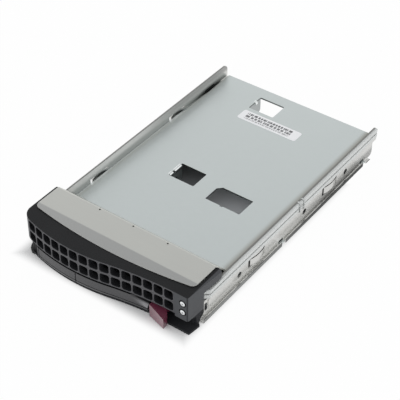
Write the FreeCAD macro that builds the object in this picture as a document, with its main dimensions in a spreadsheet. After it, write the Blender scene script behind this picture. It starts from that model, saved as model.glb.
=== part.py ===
import FreeCAD, Part
import os
import re
import math
import Sketcher

# Hot-swap drive tray with an adapter plate, in millimetres.
# +X is the tray's right, +Y runs from the front grille to the connector end, +Z is up.
# The origin lies on the underside, in the middle of the tray's length and width.
# Places along the tray are written as distances behind the foremost point of the bowed front,
# or ahead of the rear end, and become Y values in behind() and ahead().

doc = FreeCAD.newDocument("drive_tray_adapter")
sheet = doc.addObject("Spreadsheet::Sheet", "sizes")

SIZES = {
    # whole tray
    "overall_length": 184.2,
    # 3.5-inch drive that the rails are made for
    "large_drive_width": 101.6,
    "large_hole_from_rear": 33.2,
    "large_hole_rear_pitch": 41.6,
    "large_hole_front_pitch": 60.0,
    "large_hole_height": 6.35,
    "large_hole_radius": 1.75,
    # 2.5-inch drive that the plate carries
    "small_drive_width": 69.85,
    "small_drive_height": 9.5,
    "small_drive_play": 0.75,
    "small_hole_from_rear": 14.2,
    "small_hole_pitch": 76.6,
    "small_hole_height": 3.0,
    "small_hole_radius": 1.7,
    # adapter plate
    "plate_sheet": 1.0,
    "plate_bend": 1.6,
    "plate_clearance": 0.5,
    "plate_front": 23.5,
    "plate_rear_gap": 0.2,
    "flange_bottom": 0.9,
    "flange_short": 5.5,
    "tab_width": 12.4,
    "tab_bottom": 0.8,
    "tab_corner": 2.0,
    "tab_window_depth": 16.5,
    "window_corner": 0.8,
    "cable_window_left": 6.2,
    "cable_window_width": 21.9,
    "cable_window_from_rear": 88.35,
    "cable_window_depth": 12.85,
    "cable_window_chamfer": 2.6,
    "cable_notch_offset": 9.6,
    "cable_notch_width": 1.6,
    "cable_notch_depth": 0.6,
    "hook_from_rear": 15.2,
    "hook_pitch": 82.0,
    "hook_width": 3.4,
    "hook_reach": 2.7,
    "hook_clearance": 0.3,
    # label on the plate
    "label_left": -21.8,
    "label_width": 39.1,
    "label_from_rear": 23.2,
    "label_depth": 8.7,
    "label_corner": 1.2,
    "label_thickness": 0.12,
    # side rails
    "rail_sheet": 0.8,
    "rail_height": 17.6,
    "rail_front": 19.0,
    "rail_top_corner": 3.5,
    "rail_heel_step": 3.9,
    "rail_heel_height": 8.2,
    "rail_heel_corner": 2.5,
    "rail_bend": 1.3,
    "flange_front": 16.5,
    "flange_rear_gap": 9.2,
    "flange_reach": 2.3,
    "lip_height": 2.9,
    "lip_bend": 1.0,
    "rail_slot_from_rear": 18.2,
    "rail_slot_length": 9.4,
    "rail_slot_height": 1.4,
    "rail_slot_level": 10.7,
    "boss_front": 22.6,
    "boss_length": 20.0,
    "boss_bottom": 5.2,
    "boss_top": 11.2,
    "boss_rise": 0.35,
    "leaf_from_rear": 42.7,
    "leaf_pitch": 69.8,
    "leaf_length": 14.5,
    "leaf_bottom": 4.6,
    "leaf_top": 12.3,
    "leaf_slit": 0.9,
    "leaf_front_gap": 1.6,
    "leaf_radius": 21.0,
    # moulded bezel
    "bezel_top": 24.1,
    "bezel_corner": 8.0,
    "bezel_nose": 1.0,
    "bezel_wall": 1.6,
    "grille_wall": 3.0,
    "bow_depth": 6.3,
    "bow_apex_inset": 67.1,
    "bow_radius": 105.0,
    "hollow_radius": 195.0,
    "panel_rear": 18.5,
    "roof_thickness": 2.2,
    "arm_flare": 1.3,
    "arm_gap": 0.3,
    "arm_end": 32.0,
    "arm_bottom": 18.4,
    "arm_bevel": 1.4,
    "grille_margin": 5.6,
    "grille_pitch": 6.0,
    "grille_hole_width": 4.9,
    "grille_hole_height": 5.2,
    "grille_hole_corner": 1.2,
    "grille_lower_row": 11.1,
    "grille_row_pitch": 6.8,
    "bay_top": 10.1,
    "bay_roof": 1.2,
    "shelf_thickness": 1.3,
    "shelf_setback": 1.2,
    "shelf_front_width": 15.6,
    "shelf_overhang": 0.7,
    "shelf_nose": 0.5,
    "shelf_flare": 0.8,
    "shelf_cut_back": 13.9,
    "bay_back_wall": 1.5,
    "bay_side_inset": 1.2,
    "bay_side_front": 13.0,
    "panel_width": 7.6,
    "panel_bottom": 8.4,
    "skirt_knee": 12.5,
    "skirt_knee_height": 7.1,
    "skirt_foot": 13.6,
    "skirt_heel": 17.6,
    "skirt_heel_height": 5.4,
    "bay_left_front": 15.0,
    "catch_bottom": 5.4,
    "catch_top": 9.2,
    "catch_front": 20.2,
    "catch_length": 1.4,
    "catch_reach": 1.5,
    "catch_clearance": 0.2,
    # stainless cover over the bezel
    "cover_sheet": 0.8,
    "cover_side_gap": 0.8,
    "cover_front": 9.7,
    "cover_radius": 288.0,
    "cover_corner": 3.0,
    "cover_band": 16.5,
    "cover_drop": 0.5,
    "cover_rear": 31.8,
    "cover_ramp_run": 13.2,
    "cover_bend": 1.5,
    "cover_clearance": 0.25,
    "dimple_pitch": 21.5,
    "dimple_radius": 0.5,
    "dimple_inset": 1.2,
    # lever and its pin
    "pin_inset": 6.3,
    "pin_setback": 4.9,
    "pin_radius": 1.25,
    "pin_clearance": 0.05,
    "bay_clearance": 0.3,
    "barrel_radius": 4.3,
    "blade_root": 3.3,
    "lever_short": 22.9,
    "lever_depth": 5.0,
    "lever_top": 9.0,
    "lever_bevel": 0.5,
    "scoop_length": 9.2,
    "scoop_drop": 2.4,
    "scoop_back": 4.0,
    # torsion spring in the lever's barrel
    "coil_radius": 2.2,
    "coil_wire": 0.3,
    "coil_pitch": 0.7,
    "coil_turns": 2.5,
    "coil_pocket_radius": 3.0,
    "coil_leg": 1.2,
    "coil_gap": 0.1,
    # release button and its spring
    "button_gap": 0.4,
    "button_width": 10.9,
    "button_front": 2.2,
    "button_rake": 3.2,
    "button_depth": 8.5,
    "button_top": 7.9,
    "button_taper": 2.2,
    "stem_width": 7.2,
    "stem_end": 16.6,
    "guide_width": 1.2,
    "guide_height": 1.0,
    "guide_place": 12.6,
    "guide_clearance": 0.2,
    "return_radius": 1.8,
    "return_wire": 0.25,
    "return_turns": 7.0,
    "return_place": 14.2,
    "return_level": 5.4,
    "return_gap": 0.15,
    # light pipes on the right rail
    "pipe_width": 1.3,
    "pipe_height": 2.2,
    "pipe_rear_gap": 2.2,
    "pipe_gap": 0.4,
    "lower_pipe_bottom": 12.0,
    "upper_pipe_bottom": 15.1,
    "pipe_jog_front": 20.0,
    "pipe_jog_rear": 23.6,
    "lens_inset": 3.0,
    "lens_radius": 1.5,
    "lens_clearance": 0.15,
    "lens_proud": 0.15,
    "lower_lens_height": 13.4,
    "upper_lens_height": 19.0,
    "lens_length": 4.0,
    # clip that holds the pipes
    "clip_from_rear": 80.2,
    "clip_length": 4.6,
    "clip_wall": 0.6,
    "clip_clearance": 0.1,
}

# Places across the tray that follow the drive's width: the bezel is flush with the rails outside,
# its arms flare past it, the cover fits between them, and the lever ends beside the button.
DERIVED = {
    "bezel_half": "large_drive_width / 2 + rail_sheet",
    "bow_apex": "bezel_half - bow_apex_inset",
    "cover_half": "large_drive_width / 2 - cover_side_gap",
    "arm_inner": "cover_half + arm_gap",
    "arm_half": "bezel_half + arm_flare",
    "panel_left": "bezel_half - panel_width",
    "grille_left": "grille_margin - bezel_half",
    "grille_count": "round((panel_left - grille_left) / grille_pitch)",
    "shelf_step": "bezel_half - shelf_front_width",
    "shelf_half": "bezel_half + shelf_overhang",
    "pin_x": "pin_inset - bezel_half",
    "lever_root": "pin_x + blade_root",
    "lever_tip": "bezel_half - lever_short",
    "scoop_start": "lever_tip - scoop_length",
    "lens_x": "bezel_half - lens_inset",
}

for row, (alias, size) in enumerate(SIZES.items(), start=1):
    sheet.set(f"A{row}", alias.replace("_", " "))
    sheet.set(f"B{row}", str(size))
    sheet.setAlias(f"B{row}", alias)
doc.recompute()

ALIAS = re.compile(r"[A-Za-z_]\w*")


def cell(match):
    """A size's cell in the sheet, a derived place written out, or any other word as it is."""
    name = match.group(0)
    if name in DERIVED:
        return f"({bound(DERIVED[name])})"
    return f"sizes.{name}" if name in SIZES else name


def bound(expression):
    """The expression with every name in it tied to the sheet."""
    return ALIAS.sub(cell, str(expression))


def number(expression):
    """What an expression of sizes comes to."""
    return float(sheet.evalExpression(bound(expression)))


def behind(distance):
    """Y of a place that far behind the foremost point of the front."""
    return f"({distance}) - overall_length / 2"


def ahead(distance):
    """Y of a place that far ahead of the rear end."""
    return f"overall_length / 2 - ({distance})"


# Sketches and features

LEFT, RIGHT = 1, -1


def arc_between(start, end, radius, turn):
    """The short arc from start to end whose centre lies to the left or right of the way along it."""
    dx, dy = end[0] - start[0], end[1] - start[1]
    chord = math.hypot(dx, dy)
    rise = math.sqrt(max(radius * radius - chord * chord / 4, 0.0)) * turn
    cx = (start[0] + end[0]) / 2 - dy / chord * rise
    cy = (start[1] + end[1]) / 2 + dx / chord * rise
    first, last = (start, end) if turn == LEFT else (end, start)
    circle = Part.Circle(FreeCAD.Vector(cx, cy, 0), FreeCAD.Vector(0, 0, 1), radius)
    begin = math.atan2(first[1] - cy, first[0] - cx)
    finish = math.atan2(last[1] - cy, last[0] - cx)
    return Part.ArcOfCircle(circle, begin, finish)


def constrain(sketch, constraint, expression):
    """Add one dimension to a sketch and tie it to the sheet."""
    index = sketch.addConstraint(constraint)
    sketch.setExpression(f"Constraints[{index}]", bound(expression))


def hold_point(sketch, geometry, position, x, y):
    """Dimension one point of a sketch from the sketch's origin."""
    constrain(sketch, Sketcher.Constraint("DistanceX", -1, 1, geometry, position, number(x)), x)
    constrain(sketch, Sketcher.Constraint("DistanceY", -1, 1, geometry, position, number(y)), y)


def draw_loop(sketch, corners):
    """Draw a closed outline: a corner is (x, y), or (x, y, radius, turn) where an arc leaves it."""
    points = [(number(corner[0]), number(corner[1])) for corner in corners]
    ends = []
    for i, corner in enumerate(corners):
        start, end = points[i], points[(i + 1) % len(corners)]
        if len(corner) == 2:
            edge = Part.LineSegment(FreeCAD.Vector(*start, 0), FreeCAD.Vector(*end, 0))
            turn = LEFT
        else:
            turn = corner[3]
            edge = arc_between(start, end, number(corner[2]), turn)
        geometry = sketch.addGeometry(edge, False)
        ends.append((geometry, 1, 2) if turn == LEFT else (geometry, 2, 1))
    for i, corner in enumerate(corners):
        geometry, start, end = ends[i]
        following, onward, _ = ends[(i + 1) % len(corners)]
        sketch.addConstraint(Sketcher.Constraint("Coincident", geometry, end, following, onward))
        hold_point(sketch, geometry, start, corner[0], corner[1])
        if len(corner) == 4:
            constrain(sketch, Sketcher.Constraint("Radius", geometry, number(corner[2])), corner[2])


def draw_circle(sketch, x, y, radius):
    """Draw a circle held by its centre and radius."""
    centre = FreeCAD.Vector(number(x), number(y), 0)
    geometry = sketch.addGeometry(Part.Circle(centre, FreeCAD.Vector(0, 0, 1), number(radius)), False)
    hold_point(sketch, geometry, 3, x, y)
    constrain(sketch, Sketcher.Constraint("Radius", geometry, number(radius)), radius)


def new_body(label):
    """An empty body whose label names its node."""
    body = doc.addObject("PartDesign::Body", label)
    body.Label = label
    return body


def new_sketch(body, plane, level):
    """A sketch parallel to an origin plane of its body, moved along that plane's normal."""
    sketch = body.newObject("Sketcher::SketchObject", f"{body.Name}_sketch")
    origin = next(item for item in body.Origin.OriginFeatures if item.Role == plane)
    sketch.AttachmentSupport = (origin, [""])
    sketch.MapMode = "FlatFace"
    sketch.setExpression("AttachmentOffset.Base.z", bound(level))
    return sketch


def feature(body, kind, plane, low, high, loops=(), circles=()):
    """A pad or pocket between two places on the axis across the plane.

    Sketch axes are X and Y on XY_Plane, X and Z on XZ_Plane, Y and Z on YZ_Plane.
    """
    # The XZ plane faces the front, so its sketch starts at the rear end.
    level = f"-({high})" if plane == "XZ_Plane" else low
    sketch = new_sketch(body, plane, level)
    for loop in loops:
        draw_loop(sketch, loop)
    for circle in circles:
        draw_circle(sketch, *circle)
    made = body.newObject(f"PartDesign::{kind}", f"{body.Name}_{kind.lower()}")
    made.Profile = sketch
    made.setExpression("Length", bound(f"({high}) - ({low})"))
    made.Reversed = kind == "Pocket"
    doc.recompute()
    return made


def pad(body, plane, low, high, *loops, circles=()):
    """Add material."""
    return feature(body, "Pad", plane, low, high, loops, circles)


def pocket(body, plane, low, high, *loops, circles=()):
    """Cut material away, and stop if nothing was cut."""
    before = body.Shape.Volume
    made = feature(body, "Pocket", plane, low, high, loops, circles)
    if body.Shape.Volume > before - 1e-6:
        raise RuntimeError(f"{made.Name} cuts nothing")
    return made


def rectangle(x0, x1, y0, y1):
    """Corners of a plain rectangle."""
    return [(x0, y0), (x1, y0), (x1, y1), (x0, y1)]


def rounded(x0, x1, y0, y1, radius):
    """Corners of a rectangle with four equal round corners."""
    return [
        (f"{x0} + {radius}", y0),
        (f"{x1} - {radius}", y0, radius, LEFT),
        (x1, f"{y0} + {radius}"),
        (x1, f"{y1} - {radius}", radius, LEFT),
        (f"{x1} - {radius}", y1),
        (f"{x0} + {radius}", y1, radius, LEFT),
        (x0, f"{y1} - {radius}"),
        (x0, f"{y0} + {radius}", radius, LEFT),
    ]


def mirrored(corners):
    """The same outline on the other side of the tray."""
    flipped = []
    for corner in corners:
        turn = (corner[2], -corner[3]) if len(corner) == 4 else ()
        flipped.append((f"-({corner[0]})", corner[1]) + turn)
    return flipped


def backwards(corners):
    """An open run of corners walked the other way."""
    reverse = []
    for i in range(len(corners) - 1, -1, -1):
        arc = corners[i - 1] if i > 0 else ()
        turn = (arc[2], -arc[3]) if len(arc) == 4 else ()
        reverse.append((corners[i][0], corners[i][1]) + turn)
    return reverse


def across(side, low, high):
    """A span in X on the right side, or its mirror image on the left."""
    return (low, high) if side == RIGHT_SIDE else (f"-({high})", f"-({low})")


def on_side(side, corners):
    """An outline on the right side, or its mirror image on the left."""
    return corners if side == RIGHT_SIDE else mirrored(corners)


RIGHT_SIDE, LEFT_SIDE = "right", "left"

# Shared places

RAIL_INNER = "large_drive_width / 2"
RAIL_OUTER = f"{RAIL_INNER} + rail_sheet"
FLANGE_OUTER = f"{RAIL_OUTER} + flange_reach"
PLATE_HALF = f"{RAIL_INNER} - plate_clearance"
PLATE_BOTTOM = "small_drive_height"
PLATE_TOP = "small_drive_height + plate_sheet"
PLATE_REAR = ahead("plate_rear_gap")
TAB_FACE = f"{PLATE_HALF} - plate_sheet - small_drive_width - small_drive_play"
TAB_PLACES = (ahead("small_hole_from_rear"), ahead("small_hole_from_rear + small_hole_pitch"))
HOOK_PLACES = (ahead("hook_from_rear"), ahead("hook_from_rear + hook_pitch"))
LARGE_HOLES = (
    ahead("large_hole_from_rear"),
    ahead("large_hole_from_rear + large_hole_rear_pitch"),
    ahead("large_hole_from_rear + large_hole_rear_pitch + large_hole_front_pitch"),
)
COVER_TOP = "bezel_top + cover_sheet"
LEVER_BOTTOM = "shelf_thickness + bay_clearance"
BARREL_TOP = "bay_top - bay_clearance"
COIL_FLOOR = f"{BARREL_TOP} - coil_pitch * coil_turns - 2 * coil_wire - coil_gap"

# The bow of the front: a flat at the right, a hollow arc and a full arc that meet in a tangent,
# and a round left corner. Every inner line is the same curve moved in by some distance.

HOLLOW_X = "bow_apex + sqrt(2 * bow_depth * (hollow_radius + bow_radius) - bow_depth ^ 2)"
CORNER_X = "bezel_corner - bezel_half"
CORNER_Y = f"bow_radius - sqrt((bow_radius - bezel_corner) ^ 2 - ({CORNER_X} - bow_apex) ^ 2)"


def bow_flat(inset):
    """Where the flat at the right of the bow turns into the hollow arc."""
    return (HOLLOW_X, behind(f"bow_depth + {inset}"), f"hollow_radius + {inset}", LEFT)


def bow_tangent(inset):
    """Where the hollow arc meets the full arc."""
    share = f"(bow_radius - ({inset})) / (hollow_radius + bow_radius)"
    x = f"bow_apex + ({HOLLOW_X} - bow_apex) * {share}"
    y = behind(f"bow_radius + (bow_depth - hollow_radius - bow_radius) * {share}")
    return (x, y, f"bow_radius - ({inset})", RIGHT)


def bow_corner(inset):
    """Where the full arc turns into the round left corner."""
    share = f"(bow_radius - ({inset})) / (bow_radius - bezel_corner)"
    x = f"bow_apex + ({CORNER_X} - bow_apex) * {share}"
    y = behind(f"bow_radius + ({CORNER_Y} - bow_radius) * {share}")
    return (x, y, f"bezel_corner - ({inset})", RIGHT)


def bow_left(inset):
    """Where the round left corner runs into the side."""
    return (f"{inset} - bezel_half", behind(CORNER_Y))


def hollow_at(x, inset):
    """Y of the hollow arc at some X."""
    reach = f"sqrt((hollow_radius + {inset}) ^ 2 - ({x} - ({HOLLOW_X})) ^ 2)"
    return behind(f"bow_depth - hollow_radius + {reach}")


def full_at(x, inset):
    """Y of the full arc at some X."""
    return behind(f"bow_radius - sqrt((bow_radius - ({inset})) ^ 2 - ({x} - bow_apex) ^ 2)")


# The lever's pin stands a set distance behind the bow.
PIN_Y = f"{full_at('pin_x', '0')} + pin_setback"


def side_at(distance):
    """Half width of the bezel's flared side that far behind the front."""
    slope = "(arm_half - bezel_half) / (arm_end - bow_depth)"
    return f"bezel_half + {slope} * ({distance} - bow_depth)"


def bezel_outer(rear):
    """The bezel's outer line from the right side round the front to the left side."""
    return [
        (side_at(rear), behind(rear)),
        ("bezel_half", behind("bow_depth + bezel_nose"), "bezel_nose", RIGHT),
        ("bezel_half - bezel_nose", behind("bow_depth")),
        bow_flat("0"),
        bow_tangent("0"),
        bow_corner("0"),
        bow_left("0"),
        (f"-({side_at(rear)})", behind(rear)),
    ]


def bezel_inner(rear, front_wall, side_wall):
    """The line inside the bezel's wall, from the left side to the right."""
    front_line = [
        (f"bezel_half - {side_wall}", behind(f"bow_depth + {front_wall}")),
        bow_flat(front_wall),
        bow_tangent(front_wall),
        bow_corner(front_wall),
        bow_left(front_wall),
    ]
    return (
        [(f"{side_wall} - ({side_at(rear)})", behind(rear))]
        + backwards(front_line)
        + [(f"{side_at(rear)} - {side_wall}", behind(rear))]
    )


def front_bezel():
    """Moulded bezel: grille box, side arms, bay for the lever, base shelf and catches."""
    body = new_body("front_bezel")
    rear = "panel_rear"
    # Box behind the grille: wall, roof and the roof of the lever's bay.
    wall = bezel_outer(rear) + bezel_inner(rear, "grille_wall", "bezel_wall")
    pad(body, "XY_Plane", "bay_top", "bezel_top", wall)
    pad(body, "XY_Plane", "bezel_top - roof_thickness", "bezel_top", bezel_outer(rear))
    pad(body, "XY_Plane", "bay_top", "bay_top + bay_roof", bezel_outer(rear))
    # Lower edge of the lens panel and the skirt of the right side, arched over the finger gap.
    shelf_side = "bezel_half - bay_side_inset"
    nose = behind("bow_depth + bezel_nose")
    panel_back = behind("bow_depth + grille_wall")
    panel = [
        ("bezel_half", panel_back),
        ("bezel_half", nose, "bezel_nose", RIGHT),
        ("bezel_half - bezel_nose", behind("bow_depth")),
        ("panel_left", behind("bow_depth")),
        ("panel_left", panel_back),
    ]
    pad(body, "XY_Plane", "panel_bottom", "bay_top", panel)
    skirt = [
        (side_at("bow_depth + bezel_nose"), nose),
        (side_at(rear), behind(rear)),
        (shelf_side, behind(rear)),
        (shelf_side, nose),
    ]
    pad(body, "XY_Plane", "0", "bay_top", skirt)
    arch = [
        (behind("bow_depth"), "0"),
        (behind("skirt_foot"), "0"),
        (behind("skirt_knee"), "skirt_knee_height"),
        (panel_back, "panel_bottom"),
        (behind("bow_depth"), "panel_bottom"),
    ]
    cut_heel = [
        (behind("skirt_foot"), "0"),
        (behind(rear), "0"),
        (behind(rear), "skirt_heel_height"),
        (behind("skirt_heel"), "skirt_heel_height"),
    ]
    pocket(body, "YZ_Plane", shelf_side, "arm_half", arch)
    pocket(body, "YZ_Plane", shelf_side, "arm_half", cut_heel)
    # Base shelf, set back behind the lever and brought forward under the finger gap.
    shelf = [
        (shelf_side, behind(rear)),
        (shelf_side, behind("shelf_cut_back + shelf_flare + bay_side_inset")),
        ("shelf_half + shelf_flare", behind("shelf_cut_back")),
        ("shelf_half", behind("bow_depth + shelf_nose"), "shelf_nose", RIGHT),
        ("shelf_half - shelf_nose", behind("bow_depth")),
        ("shelf_step", behind("bow_depth")),
        ("shelf_step", hollow_at("shelf_step", "shelf_setback"), "hollow_radius + shelf_setback", LEFT),
        bow_tangent("shelf_setback"),
        bow_corner("shelf_setback"),
        bow_left("shelf_setback"),
        ("shelf_setback - bezel_half", behind(rear)),
    ]
    pad(body, "XY_Plane", "0", "shelf_thickness", shelf)
    # Back and side walls of the lever's bay.
    inside = f"{shelf_side} - bezel_wall"
    back = rectangle(f"-({shelf_side})", shelf_side, behind("panel_rear - bay_back_wall"), behind(rear))
    right_wall = rectangle(inside, shelf_side, behind("bay_side_front"), behind(rear))
    left_wall = rectangle(f"-({shelf_side})", f"-({inside})", behind("bay_left_front"), behind(rear))
    for outline in (back, right_wall, left_wall):
        pad(body, "XY_Plane", "shelf_thickness", "bay_top", outline)
    # Arms beside the cover, with a bevel that fades out along the flared sides.
    arm = [
        ("arm_inner", behind("panel_rear - bezel_wall")),
        (side_at("panel_rear - bezel_wall"), behind("panel_rear - bezel_wall")),
        ("arm_half", behind("arm_end")),
        ("arm_inner", behind("arm_end")),
    ]
    bevel = [
        ("arm_half - arm_bevel", "bezel_top"),
        ("arm_half", "bezel_top - arm_bevel"),
        ("arm_half", "bezel_top"),
    ]
    # Catches that reach back inside the rails and hook out through their slots.
    tongue = [
        (inside, behind("panel_rear - bezel_wall")),
        (shelf_side, behind("panel_rear - bezel_wall")),
        (shelf_side, behind("catch_front")),
        (f"{shelf_side} + catch_reach", behind("catch_front")),
        (f"{shelf_side} + catch_reach", behind("catch_front + catch_length")),
        (inside, behind("catch_front + catch_length")),
    ]
    for side in (RIGHT_SIDE, LEFT_SIDE):
        pad(body, "XY_Plane", "arm_bottom", "bezel_top", on_side(side, arm))
        pad(body, "XY_Plane", "catch_bottom", "catch_top", on_side(side, tongue))
        pocket(body, "XZ_Plane", behind("0"), behind("arm_end"), on_side(side, bevel))
    # Seat for the cover's front band.
    seat = cover_plan("cover_clearance", "panel_rear")
    pocket(body, "XY_Plane", "bezel_top - cover_drop", "bezel_top", seat)
    # Holes for the lever's pin and the two lenses.
    pin_hole = ("pin_x", PIN_Y, "pin_radius + pin_clearance")
    pocket(body, "XY_Plane", "0", "bay_top + bay_roof", circles=[pin_hole])
    lens_holes = [("lens_x", level, "lens_radius + lens_clearance") for level in
                  ("lower_lens_height", "upper_lens_height")]
    pocket(body, "XZ_Plane", behind("0"), behind("bow_depth + grille_wall"), circles=lens_holes)
    # Guide rib for the button's stem.
    rib_front, rib_rear = behind("guide_place"), behind("guide_place + guide_width")
    rib = rectangle("lever_tip + button_gap", inside, rib_front, rib_rear)
    pad(body, "XY_Plane", "shelf_thickness", "shelf_thickness + guide_height", rib)
    # Grille: one column of two holes, repeated along the bow.
    right_edge = "grille_left + grille_hole_width"
    rows = ("grille_lower_row", "grille_lower_row + grille_row_pitch")
    column = [rounded("grille_left", right_edge, level, f"{level} + grille_hole_height", "grille_hole_corner")
              for level in rows]
    cut = pocket(body, "XZ_Plane", behind("0"), behind("bow_depth + grille_wall"), *column)
    pattern = body.newObject("PartDesign::LinearPattern", "front_bezel_grille")
    pattern.Originals = [cut]
    pattern.Direction = (cut.Profile[0], ["H_Axis"])
    pattern.setExpression("Length", bound("grille_pitch * (grille_count - 1)"))
    pattern.setExpression("Occurrences", bound("grille_count"))
    body.Tip = pattern
    doc.recompute()
    return body


def cover_plan(room, rear):
    """The cover's outline from above, grown by some room, back to a place behind the front."""
    half = f"(cover_half + {room})"
    radius = f"(cover_radius + {room})"
    corner = f"(cover_corner + {room})"
    centre = "(cover_front + cover_radius)"
    corner_x = f"({half} - {corner})"
    corner_y = f"({centre} - sqrt(({radius} - {corner}) ^ 2 - {corner_x} ^ 2))"
    share = f"{radius} / ({radius} - {corner})"
    tangent_x = f"{corner_x} * {share}"
    tangent_y = behind(f"{centre} + ({corner_y} - {centre}) * {share}")
    return [
        (half, behind(rear)),
        (half, behind(corner_y), corner, RIGHT),
        (tangent_x, tangent_y, radius, RIGHT),
        (f"-{tangent_x}", tangent_y, corner, RIGHT),
        (f"-{half}", behind(corner_y)),
        (f"-{half}", behind(rear)),
    ]


def front_cover():
    """Stainless cover: sloped front band, flat deck and a ramp that stands on the plate."""
    body = new_body("front_cover")
    drop = f"({COVER_TOP} - ({PLATE_TOP}))"
    slant = f"sqrt({drop} ^ 2 + cover_ramp_run ^ 2)"
    half_turn = f"(({slant} - cover_ramp_run) / {drop})"
    bend = f"cover_bend * {half_turn}"
    along_y, along_z = f"(cover_ramp_run / {slant})", f"({drop} / {slant})"
    foot = "cover_rear + cover_ramp_run"
    inner = "(cover_bend - cover_sheet)"
    side = [
        (behind("cover_front"), f"{COVER_TOP} - cover_drop"),
        (behind("cover_front"), "bezel_top - cover_drop"),
        (behind("cover_band"), "bezel_top"),
        (behind(f"cover_rear - {bend}"), "bezel_top", inner, RIGHT),
        (behind(f"cover_rear + {bend} * {along_y} - cover_sheet * {along_z}"),
         f"{COVER_TOP} - {bend} * {along_z} - cover_sheet * {along_y}"),
        (behind(f"{foot} - cover_sheet / {along_z}"), PLATE_TOP),
        (behind(foot), PLATE_TOP),
        (behind(f"cover_rear + {bend} * {along_y}"), f"{COVER_TOP} - {bend} * {along_z}", "cover_bend", LEFT),
        (behind(f"cover_rear - {bend}"), COVER_TOP),
        (behind("cover_band"), COVER_TOP),
    ]
    pad(body, "YZ_Plane", "-cover_half", "cover_half", side)
    # Everything ahead of the curved front edge and its round corners is trimmed off.
    trim_front = behind("0")
    trim_rear = "cover_band"
    trim = [("cover_half + cover_corner", behind(trim_rear))] + cover_plan("0", trim_rear)
    trim += [
        ("-cover_half - cover_corner", behind(trim_rear)),
        ("-cover_half - cover_corner", trim_front),
        ("cover_half + cover_corner", trim_front),
    ]
    pocket(body, "XY_Plane", "bezel_top - cover_drop", COVER_TOP, trim)
    dimples = [(f"dimple_pitch * ({place})", behind("cover_rear - dimple_inset"), "dimple_radius")
               for place in (-1, 0, 1)]
    pocket(body, "XY_Plane", "bezel_top", COVER_TOP, circles=dimples)
    return body


def adapter_plate():
    """Galvanised plate with side flanges, drive tabs, windows and hooks for the rails."""
    body = new_body("adapter_plate")
    half, inner = PLATE_HALF, f"{PLATE_HALF} - plate_sheet"
    turn, tight = f"{PLATE_HALF} - plate_bend", "plate_bend - plate_sheet"
    shoulder = f"{PLATE_TOP} - plate_bend"
    section = [
        (half, "flange_bottom"),
        (half, shoulder, "plate_bend", LEFT),
        (turn, PLATE_TOP),
        (f"-({turn})", PLATE_TOP, "plate_bend", LEFT),
        (f"-({half})", shoulder),
        (f"-({half})", "flange_bottom"),
        (f"-({inner})", "flange_bottom"),
        (f"-({inner})", shoulder, tight, RIGHT),
        (f"-({turn})", PLATE_BOTTOM),
        (turn, PLATE_BOTTOM, tight, RIGHT),
        (inner, shoulder),
        (inner, "flange_bottom"),
    ]
    pad(body, "XZ_Plane", behind("plate_front"), PLATE_REAR, section)
    short = rectangle(ahead("plate_rear_gap + flange_short"), PLATE_REAR, "flange_bottom", shoulder)
    pocket(body, "YZ_Plane", f"-({half})", half, short)
    # Windows that the tabs were folded out of, and the wider cable window.
    for place in TAB_PLACES:
        window = rounded(TAB_FACE, f"{TAB_FACE} + tab_window_depth", f"{place} - tab_width / 2",
                         f"{place} + tab_width / 2", "window_corner")
        pocket(body, "XY_Plane", PLATE_BOTTOM, PLATE_TOP, window)
    front = ahead("cable_window_from_rear + cable_window_depth")
    rear = ahead("cable_window_from_rear")
    right = "cable_window_left + cable_window_width"
    notch = "cable_window_left + cable_notch_offset"
    cable_window = [
        ("cable_window_left", front),
        (notch, front),
        (notch, f"{front} - cable_notch_depth"),
        (f"{notch} + cable_notch_width", f"{front} - cable_notch_depth"),
        (f"{notch} + cable_notch_width", front),
        (right, front),
        (right, rear),
        ("cable_window_left + cable_window_chamfer", rear),
        ("cable_window_left", f"{rear} - cable_window_chamfer"),
    ]
    pocket(body, "XY_Plane", PLATE_BOTTOM, PLATE_TOP, cable_window)
    # Tabs beside the drive, each with a screw hole at the drive's side hole.
    for place in TAB_PLACES:
        low, high = f"{place} - tab_width / 2", f"{place} + tab_width / 2"
        tab = [
            (low, PLATE_TOP),
            (low, "tab_bottom + tab_corner", "tab_corner", LEFT),
            (f"{low} + tab_corner", "tab_bottom"),
            (f"{high} - tab_corner", "tab_bottom", "tab_corner", LEFT),
            (high, "tab_bottom + tab_corner"),
            (high, PLATE_TOP),
        ]
        hole = (place, "small_hole_height", "small_hole_radius")
        pad(body, "YZ_Plane", f"{TAB_FACE} - plate_sheet", TAB_FACE, tab, circles=[hole])
    # Hooks that pass out under the rails, and clearance holes behind the rails' own holes.
    for side in (RIGHT_SIDE, LEFT_SIDE):
        for place in HOOK_PLACES:
            hook = rectangle(inner, f"{half} + hook_reach", f"{place} - hook_width / 2",
                             f"{place} + hook_width / 2")
            pad(body, "XY_Plane", "flange_bottom", "flange_bottom + plate_sheet", on_side(side, hook))
        low, high = across(side, inner, half)
        holes = [(place, "large_hole_height", "large_hole_radius") for place in LARGE_HOLES]
        pocket(body, "YZ_Plane", low, high, circles=holes)
    return body


def plate_label():
    """Paper label stuck on the plate."""
    body = new_body("plate_label")
    outline = rounded("label_left", "(label_left + label_width)", ahead("label_from_rear + label_depth"),
                      ahead("label_from_rear"), "label_corner")
    pad(body, "XY_Plane", PLATE_TOP, f"{PLATE_TOP} + label_thickness", outline)
    return body


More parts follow.
